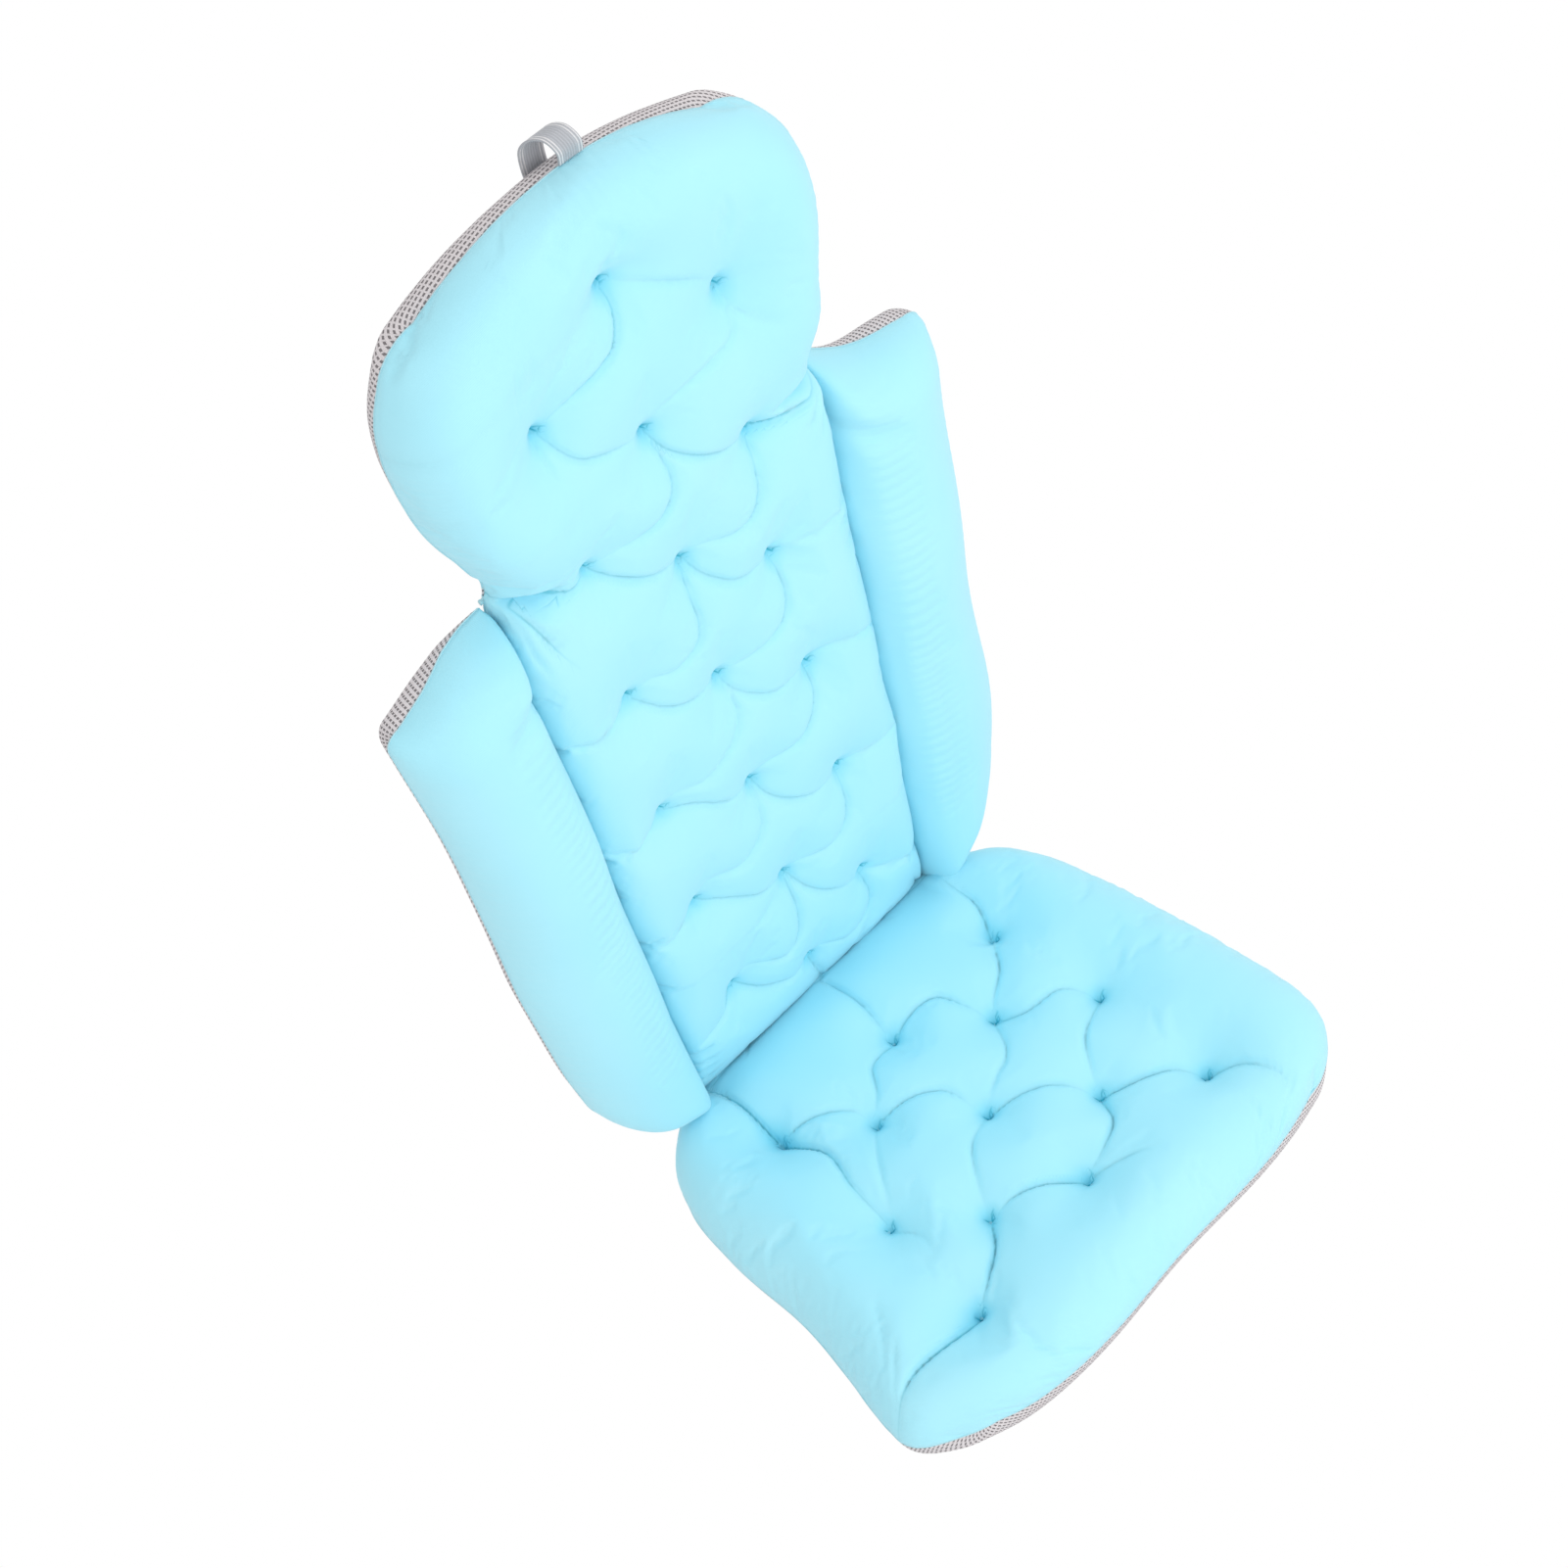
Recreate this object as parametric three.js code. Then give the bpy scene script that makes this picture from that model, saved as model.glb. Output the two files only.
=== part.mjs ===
// A full-body bath pillow: a tufted seat, a tufted back with a headrest, and two side wings.
// Each panel is a quilted face cover over a loose filling, sewn at its rim to a tray of spacer mesh.
// The panels fold on the sewn seams between them, and suction cups hold the mesh side to a bathtub.
// Millimetres, +Z up. The sitter looks towards -Y, and the seat lies flat.
import * as THREE from "three";

// Posture
const seatToBackAngle = 88; // degrees between the seat and the back as it stands
const closingRoom = 6; // degrees that the back can still close from there
const wingForwardRoom = 20; // degrees that a wing can fold towards the sitter
const neckForwardRoom = 12; // degrees that the headrest can nod forwards
const foldMargin = 1.5; // degrees kept free at the end of each fold

// Panels
const hingeHalfWidth = 126;
const neckHalfWidth = 136;
const backLength = 611;
const seatHalfWidth = 226;
const seatLength = 409;
const seatFrontBow = 18;
const headHalfWidth = 159;
const headLength = 256;
const headTopBow = 26;
const wingWidth = 89;
const wingTopDrop = 26;
const wingFootRise = 58;
const wingFootStart = 14;

// Padding
const seatCrown = 66;
const backCrown = 50;
const headCrown = 72;
const wingCrown = 62;
const seatField = 51; // the padding's height between the stitches of the quilted field
const backField = 46;
const headField = 50;
const tuftHeight = 30;
const hingeThickness = 34; // of a panel where it meets the other one over the fold
const hingeReach = 33;
const hingeRun = 84; // over which it thickens from there
const backHingeRun = 126;
const shelfSpare = 6;
const shelfFade = 20; // either side of the corners of the fold, over which the shelf ends
const edgeRoll = 60;
const backRoll = 46;
const headRoll = 68;
const wingRoll = 42;
const neckRoll = 16;

// Tufting: a quincunx of stitches, with pairs that stand a spacing to each side of the middle
const backTuftSpacing = 72;
const backFirstTuft = 64.4;
const backTuftGaps = 9; // row pitches from the first tuft of the back to the neck pair
const headTuftGaps = 3; // row pitches from the neck pair to the top tuft
const seatTuftSpacing = 62;
const seatFirstTuft = 113;
const seatTuftPitch = 53;
const seatTuftGaps = 4;
const seatTuftReach = 2; // the widest pair of the seat stands two spacings out, that of the back one
const backTuftReach = 1;
const valleyPower = 0.65; // how sharply the fabric creases along a line of tufts
const pullPower = 1.8; // how much shallower a crease is midway than at its stitches
const fieldInset = 0.1; // the field starts to rise this many spacings or rows inside its last stitch
const fieldFade = 1.2;
const tuftFade = 0.8; // the quilting dies out over this many spacings or rows past its last stitch
const backTuftFade = 1.1;
const seatLeadFade = 1.5;

// Cloth
const coverThickness = 1.2;
const meshThickness = 2.6;
const clothGap = 0.35; // between one sewn layer and the next
const freeRimHeight = 18; // how far the mesh climbs at a free edge
const seamRimHeight = 4.2; // and at a folding seam
const rimRise = 64; // over which distance it climbs from one to the other
const meshCorner = 11;
const drawIn = 42; // width of the border whose inner layers are drawn in from the outline
const seamRadius = 2;
const seamAxisHeight = 2.4;
const seamEndRoom = 7;

// Hanging loop of webbing
const loopWidth = 18;
const loopThickness = 1.5;
const loopShift = 15; // its place to the right of the middle
const loopReach = 11;
const loopDrop = 8; // how far it falls from its stitches to the crest of its arch
const loopTailLength = 26;
const loopFootHeight = 18;
const loopLean = 0.5; // how far it shifts to the left as it drops

// Suction cups and the patches that hold them
const cupRadius = 22;
const cupDepth = 5;
const cupWall = 1.3;
const cupRimWidth = 3;
const cupWaistRadius = 11;
const cupDomeRadius = 9;
const cupDomeDrop = 1;
const cupNeckRadius = 4;
const cupHeadRadius = 8;
const cupHeadThickness = 2.2;
const cupHeight = 12;
const patchThickness = 1;
const patchFlange = 6;

// Shares of the sizes above
const seatSideShares = [
  [0, 0.56],
  [0.03, 0.585],
  [0.06, 0.635],
  [0.1, 0.725],
  [0.15, 0.815],
  [0.23, 0.885],
  [0.37, 0.93],
  [0.54, 0.955],
  [0.7, 0.985],
  [0.82, 1],
  [0.92, 0.965],
  [1, 0.85],
];
const headSideShares = [
  [0, 0.83],
  [0.14, 0.86],
  [0.32, 0.925],
  [0.54, 0.99],
  [0.7, 1],
  [0.83, 0.965],
  [0.92, 0.885],
  [1, 0.74],
];
const wingSideShares = [
  [0, 0.7],
  [0.03, 0.8],
  [0.08, 0.92],
  [0.15, 0.98],
  [0.4, 1],
  [0.7, 1.02],
  [1, 1.06],
];
const leadShares = [0, 0.07, 0.2, 0.42, 0.7];
const tailShares = [0.3, 0.6, 0.84, 0.96, 1];
const neckTailShares = [0.4, 0.8, 0.93, 1];
const wingRowShares = [0, 0.015, 0.05, 0.1, 0.18, 0.3, 0.43, 0.56, 0.69, 0.81, 0.89, 0.95, 0.985, 1];
const marginShares = [0.38, 0.7, 0.92, 1];
const wingColumnShares = [0, 0.06, 0.2, 0.44, 0.7, 0.89, 0.975, 1];
const meshProfileShares = [
  // share of the mesh corner inwards, share of the rim height up
  [0, 1],
  [0.2, 0.36],
  [1, 0],
];
const frontRoundness = 2.6;
const wingFootRoundness = 1.5;
const softBlend = 5;
const rimLeadShare = 0.35;
const loopFootShare = 0.4; // of the tail, pressed flat on the mesh

// Counts of sides and steps
const cupSides = 14;
const seamSides = 10;
const loopSteps = 22;

// Where the cups sit, as shares of their panel's half width and length
const seatCupShares = [
  [-0.62, 0.14],
  [0.62, 0.14],
  [-0.68, 0.82],
  [0.68, 0.82],
];
const backCupShares = [
  [-0.55, 0.2],
  [0.55, 0.2],
];
const headCupShares = [
  [-0.52, 0.55],
  [0.52, 0.55],
];

// Worked out from the sizes above
const backTuftPitch = (backLength - backFirstTuft) / backTuftGaps;
const seamEdge = seamRadius + clothGap;
const foldRelief = (seatToBackAngle - closingRoom - foldMargin) / 2;
const foldSlope = Math.tan(THREE.MathUtils.degToRad(foldRelief));
const wingSlope = 1 / Math.tan(THREE.MathUtils.degToRad((wingForwardRoom + foldMargin) / 2));
const neckSlope = 1 / Math.tan(THREE.MathUtils.degToRad((neckForwardRoom + foldMargin) / 2));
const wingFold = THREE.MathUtils.degToRad(wingForwardRoom + foldMargin);
const seamLean = Math.atan2(neckHalfWidth - hingeHalfWidth, backLength);
const wingSeamLength = Math.hypot(backLength, neckHalfWidth - hingeHalfWidth);
const rimGap = clothGap / 2;

// Materials
const finish = (color, roughness, metalness = 0) =>
  new THREE.MeshStandardMaterial({ color, roughness, metalness });
const faceFabric = finish(0xa8ecfa, 0.7);
const spacerMesh = finish(0xcfc4c4, 0.9);
const fibreFilling = finish(0xf4f4f0, 1);
const webbing = finish(0xaeb0b6, 0.8);
const clearRubber = finish(0xdfe6e8, 0.25);

const { lerp, clamp, smoothstep } = THREE.MathUtils;

// A quarter round: 0 at an edge, 1 from one roll inwards.
const roll = (distance, radius) => Math.sqrt(1 - (1 - clamp(distance / radius, 0, 1)) ** 2);

// The lower of two heights, rounded where they cross.
function softer(a, b) {
  const low = Math.max(Math.min(a, b), 0);
  const high = Math.max(a, b, Number.EPSILON);
  return low / (1 + (low / high) ** softBlend) ** (1 / softBlend);
}

// A smooth curve through a short table of [place, value] shares.
function curveThrough(table) {
  const places = Float32Array.from(table, (row) => row[0]);
  const values = Float32Array.from(table, (row) => row[1]);
  const curve = new THREE.CubicInterpolant(places, values, 1);
  return (place) => curve.evaluate(place)[0];
}

// How far a quilted surface is pulled down at a place counted in tuft spacings and rows:
// 1 at a stitch, less midway along a crease, 0 in the middle of a diamond.
function pull(across, along) {
  const rising = Math.abs(Math.sin((Math.PI * (across + along)) / 2));
  const falling = Math.abs(Math.sin((Math.PI * (across - along)) / 2));
  return (1 - (rising ** valleyPower + falling ** valleyPower) / 2) ** pullPower;
}

// 1 inside a limit, fading to 0 over a run beyond it.
const fading = (value, limit, run) => 1 - smoothstep(value, limit, limit + run);

// Panels
// Each has its own frame: X across, Y away from its seam, Z towards the padded face, underside at 0.

function tuftedColumns(spacing, count, width) {
  const reach = spacing * count;
  const squeeze = Math.min(1, width / (reach + spacing));
  const half = [];
  for (let step = 1; step <= 2 * count; step++) half.push((squeeze * spacing * step) / 2);
  const last = half[half.length - 1];
  for (const share of marginShares) half.push(lerp(last, width, share));
  return [...half.map((x) => -x).reverse(), 0, ...half];
}

function tuftedRows(start, first, pitch, gaps, end, tail) {
  const rows = leadShares.map((share) => lerp(start, first, share));
  for (let step = 0; step <= 2 * gaps; step++) rows.push(first + (step * pitch) / 2);
  const last = first + gaps * pitch;
  for (const share of tail) rows.push(lerp(last, end, share));
  return rows.map((row) => (row - start) / (end - start));
}

function padded(rim, crown, edge, dip) {
  return (crown - rim - (crown - tuftHeight) * dip) * edge;
}

// The height over its rim that a wall leaves free when it rises at a slope from a seam.
const wall = (distance, slope, rim) => Math.max(distance * slope - (rim - seamRimHeight), 0);

// 1 over the quilted field, 0 on the fuller border round it.
function fieldShare(across, reach, along, gaps) {
  const sides = fading(Math.abs(across), reach - fieldInset, fieldFade);
  return sides * fading(along, gaps - fieldInset, fieldFade);
}

// The height that a panel has climbed to at a distance from the fold that it is sewn through on.
const shelf = (distance, crown, run) =>
  lerp(hingeThickness, crown, Math.sin((clamp((distance - hingeReach) / run, 0, 1) * Math.PI) / 2));

function seatPanel() {
  const side = curveThrough(seatSideShares);
  const widthAt = (t) => side(t) * seatHalfWidth;
  const corner = seatLength - seatFrontBow;
  const rimAt = (x, v) => lerp(seamRimHeight, freeRimHeight, smoothstep(v, seamEdge, rimRise));
  return {
    rows: tuftedRows(seamEdge, seatFirstTuft, seatTuftPitch, seatTuftGaps, seatLength, tailShares),
    columnsAt: (width) => tuftedColumns(seatTuftSpacing, seatTuftReach, width),
    widthAt,
    nearAt: () => seamEdge,
    farAt: (s) => corner + seatFrontBow * (1 - Math.abs(s) ** frontRoundness),
    rimAt,
    topAt(x, v, s, t) {
      const across = x / seatTuftSpacing;
      const along = (v - seatFirstTuft) / seatTuftPitch;
      const mask =
        fading(Math.abs(across), seatTuftReach, tuftFade) *
        fading(along, seatTuftGaps, tuftFade) *
        fading(-along, 0, seatLeadFade);
      const edge = roll(widthAt(t) - Math.abs(x), edgeRoll) * roll(this.farAt(s) - v, edgeRoll);
      const crown = lerp(seatCrown, seatField, fieldShare(across, seatTuftReach, along, seatTuftGaps));
      const puffed = padded(rimAt(x, v), crown, edge, pull(across, along) * mask);
      const shoulder = smoothstep(Math.abs(x), hingeHalfWidth - shelfFade, hingeHalfWidth + shelfFade);
      const low = lerp(shelf(v, seatCrown + shelfSpare, hingeRun), 2 * seatCrown, shoulder);
      const shelved = softer(puffed, low - rimAt(x, v));
      return softer(shelved, wall(v - seamEdge, foldSlope, rimAt(x, v)));
    },
  };
}

function backPanel() {
  const widthAt = (t) => lerp(hingeHalfWidth, neckHalfWidth, t) - seamEdge;
  const neck = backLength - seamEdge;
  return {
    rows: tuftedRows(seamEdge, backFirstTuft, backTuftPitch, backTuftGaps - 1, neck, neckTailShares),
    columnsAt: (width) => tuftedColumns(backTuftSpacing, backTuftReach, width),
    widthAt,
    nearAt: () => seamEdge,
    farAt: () => neck,
    rimAt: () => seamRimHeight,
    topAt(x, v, s, t) {
      const across = x / backTuftSpacing;
      const along = (v - backFirstTuft) / backTuftPitch;
      const inward = widthAt(t) - Math.abs(x);
      const mask = fading(Math.abs(across), backTuftReach, backTuftFade);
      const edge = roll(inward, backRoll) * roll(neck - v, neckRoll);
      const crown = lerp(backCrown, backField, fieldShare(across, backTuftReach, along, backTuftGaps));
      const quilted = padded(seamRimHeight, crown, edge, pull(across, along) * mask);
      const low = shelf(v, backCrown + shelfSpare, backHingeRun) - seamRimHeight;
      const puffed = softer(quilted, low);
      const sided = softer(puffed, inward * wingSlope);
      const nodding = softer(sided, (neck - v) * neckSlope);
      return softer(nodding, (v - seamEdge) * foldSlope);
    },
  };
}

function headPanel() {
  const side = curveThrough(headSideShares);
  const widthAt = (t) => side(t) * headHalfWidth;
  const corner = headLength - headTopBow;
  const firstTuft = backTuftPitch;
  const rimAt = (x, v) => lerp(seamRimHeight, freeRimHeight, smoothstep(v, seamEdge, rimRise));
  return {
    rows: tuftedRows(seamEdge, firstTuft, backTuftPitch, headTuftGaps - 1, headLength, tailShares),
    columnsAt: (width) => tuftedColumns(backTuftSpacing, backTuftReach, width),
    widthAt,
    nearAt: () => seamEdge,
    farAt: (s) => corner + headTopBow * (1 - Math.abs(s) ** frontRoundness),
    rimAt,
    topAt(x, v, s, t) {
      const across = x / backTuftSpacing;
      const along = backTuftGaps + v / backTuftPitch;
      const mask =
        fading(Math.abs(across), backTuftReach, tuftFade) *
        fading(along, backTuftGaps + headTuftGaps, tuftFade);
      const edge = roll(widthAt(t) - Math.abs(x), headRoll) * roll(this.farAt(s) - v, headRoll);
      const bulge = roll(v - seamEdge, neckRoll);
      const gaps = backTuftGaps + headTuftGaps;
      const crown = lerp(headCrown, headField, fieldShare(across, backTuftReach, along, gaps));
      const puffed = padded(rimAt(x, v), crown, edge * bulge, pull(across, along) * mask);
      return softer(puffed, wall(v - seamEdge, neckSlope, rimAt(x, v)));
    },
  };
}

function wingPanel() {
  const side = curveThrough(wingSideShares);
  const widthAt = (t) => side(t) * wingWidth;
  const footRim = (x, v) => Math.min(x, v / 2);
  const rimAt = (x, v) => lerp(seamRimHeight, freeRimHeight, smoothstep(footRim(x, v), seamEdge, rimRise));
  return {
    rows: wingRowShares,
    columnsAt: (width) => wingColumnShares.map((share) => lerp(seamEdge, width, share)),
    widthAt,
    nearAt: (s) => wingFootStart + wingFootRise * s ** wingFootRoundness,
    farAt: (s) => wingSeamLength - seamEdge - wingTopDrop * s,
    rimAt,
    topAt(x, v, s, t) {
      const inward = Math.min(x - seamEdge, widthAt(t) - x);
      const edge =
        roll(inward, wingRoll) *
        roll(this.farAt(s) - v, wingRoll) *
        roll(v - this.nearAt(s), wingRoll);
      const puffed = padded(rimAt(x, v), wingCrown, edge, 0);
      const sided = softer(puffed, wall(x - seamEdge, wingSlope, rimAt(x, v)));
      const overSeat = (v * foldSlope - x * Math.sin(wingFold)) / Math.cos(wingFold);
      return softer(sided, Math.max(overSeat - rimAt(x, v), 0));
    },
  };
}

// 1 at an edge, easing to 0 over the drawn-in border.
const border = (distance) => (1 - clamp(distance / drawIn, 0, 1)) ** 2;

// The grid of a panel: for each point its place, the way outwards, and the padding's height over the rim.
function gridOf(panel) {
  const lastRow = panel.rows.length - 1;
  return panel.rows.map((t, i) => {
    const width = panel.widthAt(t);
    const columns = panel.columnsAt(width);
    return columns.map((x, j) => {
      const s = x / width;
      const v = lerp(panel.nearAt(s), panel.farAt(s), t);
      const atRim = i === 0 || i === lastRow || j === 0 || j === columns.length - 1;
      return {
        x,
        v,
        outX: border(width - x) - border(x - columns[0]),
        outV: border(panel.farAt(s) - v) - border(v - panel.nearAt(s)),
        rim: panel.rimAt(x, v),
        rise: atRim ? 0 : panel.topAt(x, v, s, t),
      };
    });
  });
}

// A point of the grid drawn in from the outline by inset, at height h.
const placed = (p, inset, h) => new THREE.Vector3(p.x - inset * p.outX, p.v - inset * p.outV, h);

// The height of a padded surface that lies a depth under the outer one.
function sunk(p, depth) {
  const lead = rimLeadShare * tuftHeight;
  return p.rim + p.rise - depth * Math.min(1, p.rise / lead);
}

function quilt(grid, inset, depth, lift) {
  return grid.map((row) => row.map((p) => placed(p, inset, sunk(p, depth) + lift)));
}

function rimOf(grid) {
  const first = grid[0];
  const last = grid[grid.length - 1];
  const middle = grid.slice(1, -1);
  return [
    ...first,
    ...middle.map((row) => row[row.length - 1]),
    ...[...last].reverse(),
    ...middle.map((row) => row[0]).reverse(),
  ];
}

// Rings of the mesh tray's surface, from its rim in to its flat floor.
function trayRings(grid, inset, lift) {
  const rim = rimOf(grid);
  return meshProfileShares.map(([inwards, up]) =>
    rim.map((p) => placed(p, inset + inwards * meshCorner, up * (p.rim - rimGap) + lift * (1 - up))),
  );
}

// Triangles are gathered as points and closed into one geometry.
class Skin {
  constructor() {
    this.points = [];
  }

  triangle(a, b, c) {
    this.points.push(a, b, c);
  }

  quad(a, b, c, d) {
    this.triangle(a, b, c);
    this.triangle(a, c, d);
  }

  // A grid seen from above, split along the lower diagonal of each square, as fabric creases.
  field(grid, guide, up) {
    for (let i = 0; i + 1 < grid.length; i++) {
      for (let j = 0; j + 1 < grid[i].length; j++) {
        const [a, b, c, d] = [grid[i][j], grid[i][j + 1], grid[i + 1][j + 1], grid[i + 1][j]];
        const straight = guide[i][j].z + guide[i + 1][j + 1].z <= guide[i][j + 1].z + guide[i + 1][j].z;
        const corners = straight ? [a, b, c, d] : [b, c, d, a];
        this.quad(...(up ? corners : [corners[0], corners[3], corners[2], corners[1]]));
      }
    }
  }

  // A band from an upper ring to a lower one, facing outwards or inwards.
  band(upper, lower, outwards) {
    upper.forEach((a, k) => {
      const after = (k + 1) % upper.length;
      if (outwards) this.quad(a, lower[k], lower[after], upper[after]);
      else this.quad(lower[after], lower[k], a, upper[after]);
    });
  }

  // A flat floor inside a ring whose first and last rows have the given number of points:
  // a fan at each end, and a ladder of squares between.
  flat(ring, across, up) {
    const rungs = ring.length / 2 - across + 2;
    const side = (left, k) => ring[left ? (ring.length - k) % ring.length : across - 1 + k];
    const first = ring.slice(0, across);
    const last = ring.slice(across + rungs - 2, 2 * across + rungs - 2).reverse();
    const face = (a, b, c) => (up ? this.triangle(a, b, c) : this.triangle(a, c, b));
    const half = Math.floor(across / 2);
    for (let j = 0; j + 1 < across; j++) {
      face(first[j], first[j + 1], side(j < half, 1));
      face(last[j + 1], last[j], side(j < half, rungs - 2));
    }
    face(first[half], side(false, 1), side(true, 1));
    face(last[half], side(true, rungs - 2), side(false, rungs - 2));
    for (let k = 1; k < rungs - 2; k++) {
      face(side(true, k), side(false, k), side(false, k + 1));
      face(side(true, k), side(false, k + 1), side(true, k + 1));
    }
  }

  geometry() {
    return new THREE.BufferGeometry().setFromPoints(this.points);
  }
}

// The face cover: a thin quilted shell, open below.
function coverGeometry(grid) {
  const outer = quilt(grid, 0, 0, rimGap);
  const inner = quilt(grid, coverThickness, coverThickness, rimGap);
  const skin = new Skin();
  skin.field(outer, outer, true);
  skin.field(inner, outer, false);
  skin.band(rimOf(outer), rimOf(inner), true);
  return skin.geometry();
}

// The filling: it follows the cover from inside and lies on the tray.
function fillingGeometry(grid) {
  const inset = meshThickness + clothGap;
  const guide = quilt(grid, 0, 0, 0);
  const top = quilt(grid, inset, coverThickness + clothGap, rimGap);
  const rings = trayRings(grid, inset, inset);
  rings[0] = rimOf(top);
  const skin = new Skin();
  skin.field(top, guide, true);
  for (let k = 0; k + 1 < rings.length; k++) skin.band(rings[k], rings[k + 1], true);
  skin.flat(rings[rings.length - 1], grid[0].length, false);
  return skin.geometry();
}

// The mesh tray: the underside and the low side walls up to the seam.
function trayGeometry(grid) {
  const outer = trayRings(grid, 0, 0);
  const inner = trayRings(grid, meshThickness, meshThickness);
  const last = outer.length - 1;
  const skin = new Skin();
  skin.band(outer[0], inner[0], false);
  for (let k = 0; k < last; k++) {
    skin.band(outer[k], outer[k + 1], true);
    skin.band(inner[k], inner[k + 1], false);
  }
  skin.flat(outer[last], grid[0].length, false);
  skin.flat(inner[last], grid[0].length, true);
  return skin.geometry();
}

function named(geometry, material, name) {
  const mesh = new THREE.Mesh(geometry, material);
  mesh.name = name;
  return mesh;
}

// A panel's three layers.
function layers(panel, name) {
  const grid = gridOf(panel);
  const group = new THREE.Group();
  group.add(named(coverGeometry(grid), faceFabric, name + "_face_cover"));
  group.add(named(fillingGeometry(grid), fibreFilling, name + "_filling"));
  group.add(named(trayGeometry(grid), spacerMesh, name + "_mesh_backing"));
  return group;
}

// A rolled seam of stitched layers from one point to another.
function seam(from, to, name) {
  const length = from.distanceTo(to);
  const rod = new THREE.CylinderGeometry(seamRadius, seamRadius, length, seamSides);
  const mesh = named(rod, faceFabric, name);
  const way = to.clone().sub(from).normalize();
  mesh.position.copy(from).add(to).multiplyScalar(0.5);
  mesh.quaternion.setFromUnitVectors(new THREE.Vector3(0, 1, 0), way);
  return mesh;
}

// A profile of [radius, height] turned about Z.
function turned(profile) {
  const points = profile.map(([r, z]) => new THREE.Vector2(r, z));
  return new THREE.LatheGeometry(points, cupSides).rotateX(Math.PI / 2);
}

// A suction cup with its rim at -cupHeight and its button head just under the mesh.
function cupGeometry() {
  const rim = -cupHeight;
  const throat = rim + cupDepth;
  const head = -clothGap - cupHeadThickness;
  const profile = [
    [0, throat],
    [cupDomeRadius, throat - cupDomeDrop],
    [cupRadius - cupRimWidth, rim],
    [cupRadius, rim],
    [cupWaistRadius, throat + cupWall],
    [cupNeckRadius, throat + 2 * cupWall],
    [cupNeckRadius, head],
    [cupHeadRadius, head],
    [cupHeadRadius, -clothGap],
    [0, -clothGap],
  ];
  return turned(profile);
}

// The patch: a dished ring sewn to the mesh, with the cup's head trapped behind it.
function patchGeometry() {
  const inner = cupNeckRadius + clothGap;
  const pocket = cupHeadRadius + clothGap;
  const shelf = -cupHeadThickness - 2 * clothGap;
  const outer = pocket + patchThickness + patchFlange;
  const profile = [
    [inner, shelf],
    [inner, shelf - patchThickness],
    [pocket + patchThickness, shelf - patchThickness],
    [outer, -clothGap - patchThickness],
    [outer, -clothGap],
    [pocket, -clothGap],
    [pocket, shelf],
    [inner, shelf],
  ];
  return turned(profile);
}

function cups(shares, halfWidth, length, name) {
  const group = new THREE.Group();
  shares.forEach(([across, along], k) => {
    const label = "_" + (k + 1);
    const cup = named(cupGeometry(), clearRubber, name + "_suction_cup" + label);
    const patch = named(patchGeometry(), webbing, name + "_cup_patch" + label);
    for (const mesh of [cup, patch]) {
      mesh.position.set(across * halfWidth, along * length, 0);
      group.add(mesh);
    }
  });
  return group;
}

// The hanging loop: webbing sewn in at the top seam, arched out and down to the mesh behind it.
function hangingLoop() {
  const half = loopThickness / 2;
  const behind = -clothGap - half;
  const seamLine = headLength + clothGap + half;
  const crest = loopFootHeight - loopDrop;
  const floor = headLength - meshCorner;
  const path = new THREE.CatmullRomCurve3(
    [
      [seamLine, loopFootHeight],
      [seamLine + loopReach * Math.SQRT1_2, crest + loopDrop * Math.SQRT1_2],
      [seamLine + loopReach, crest],
      [seamLine + loopReach * Math.SQRT1_2, crest / 3],
      [seamLine, behind],
      [floor, behind - loopThickness],
      [floor - loopTailLength * loopFootShare, behind],
      [floor - loopTailLength, behind],
    ].map(([v, h]) => new THREE.Vector3(v, h, 0)),
  );
  const outer = [];
  const inner = [];
  for (let k = 0; k <= loopSteps; k++) {
    const p = path.getPoint(k / loopSteps);
    const way = path.getTangent(k / loopSteps);
    outer.push(new THREE.Vector2(p.x + way.y * half, p.y - way.x * half));
    inner.push(new THREE.Vector2(p.x - way.y * half, p.y + way.x * half));
  }
  const shape = new THREE.Shape([...outer, ...inner.reverse()]);
  const band = new THREE.ExtrudeGeometry(shape, { depth: loopWidth, bevelEnabled: false });
  band.translate(0, 0, loopShift - loopWidth / 2);
  const turn = new THREE.Matrix4().makeBasis(
    new THREE.Vector3(0, 1, 0),
    new THREE.Vector3(0, 0, 1),
    new THREE.Vector3(1, 0, 0),
  );
  const lean = new THREE.Matrix4().makeShear(0, 0, 0, 0, loopLean, 0);
  lean.setPosition(-loopLean * loopFootHeight, 0, 0);
  return named(band.applyMatrix4(turn).applyMatrix4(lean), webbing, "hanging_loop");
}

// Assembly
// A panel's frame, turned about a seam's axis: the axis lies seamAxisHeight over the underside.
function hung(content, at, turn) {
  const pivot = new THREE.Group();
  pivot.position.copy(at);
  pivot.rotation.copy(turn);
  const body = new THREE.Group();
  body.position.z = -seamAxisHeight;
  body.add(...content);
  pivot.add(body);
  return pivot;
}

function wing(side) {
  const name = side < 0 ? "left_wing" : "right_wing";
  const pivot = hung(
    [layers(wingPanel(), name)],
    new THREE.Vector3(side * hingeHalfWidth, 0, seamAxisHeight),
    new THREE.Euler(0, 0, -side * seamLean),
  );
  pivot.scale.x = side;
  return pivot;
}

function wingSeam(side) {
  const way = new THREE.Vector3(side * Math.sin(seamLean), Math.cos(seamLean), 0);
  const start = new THREE.Vector3(side * hingeHalfWidth, 0, seamAxisHeight);
  return seam(
    start.clone().addScaledVector(way, seamEndRoom),
    start.clone().addScaledVector(way, wingSeamLength - seamEndRoom),
    side < 0 ? "left_wing_seam" : "right_wing_seam",
  );
}

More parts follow.
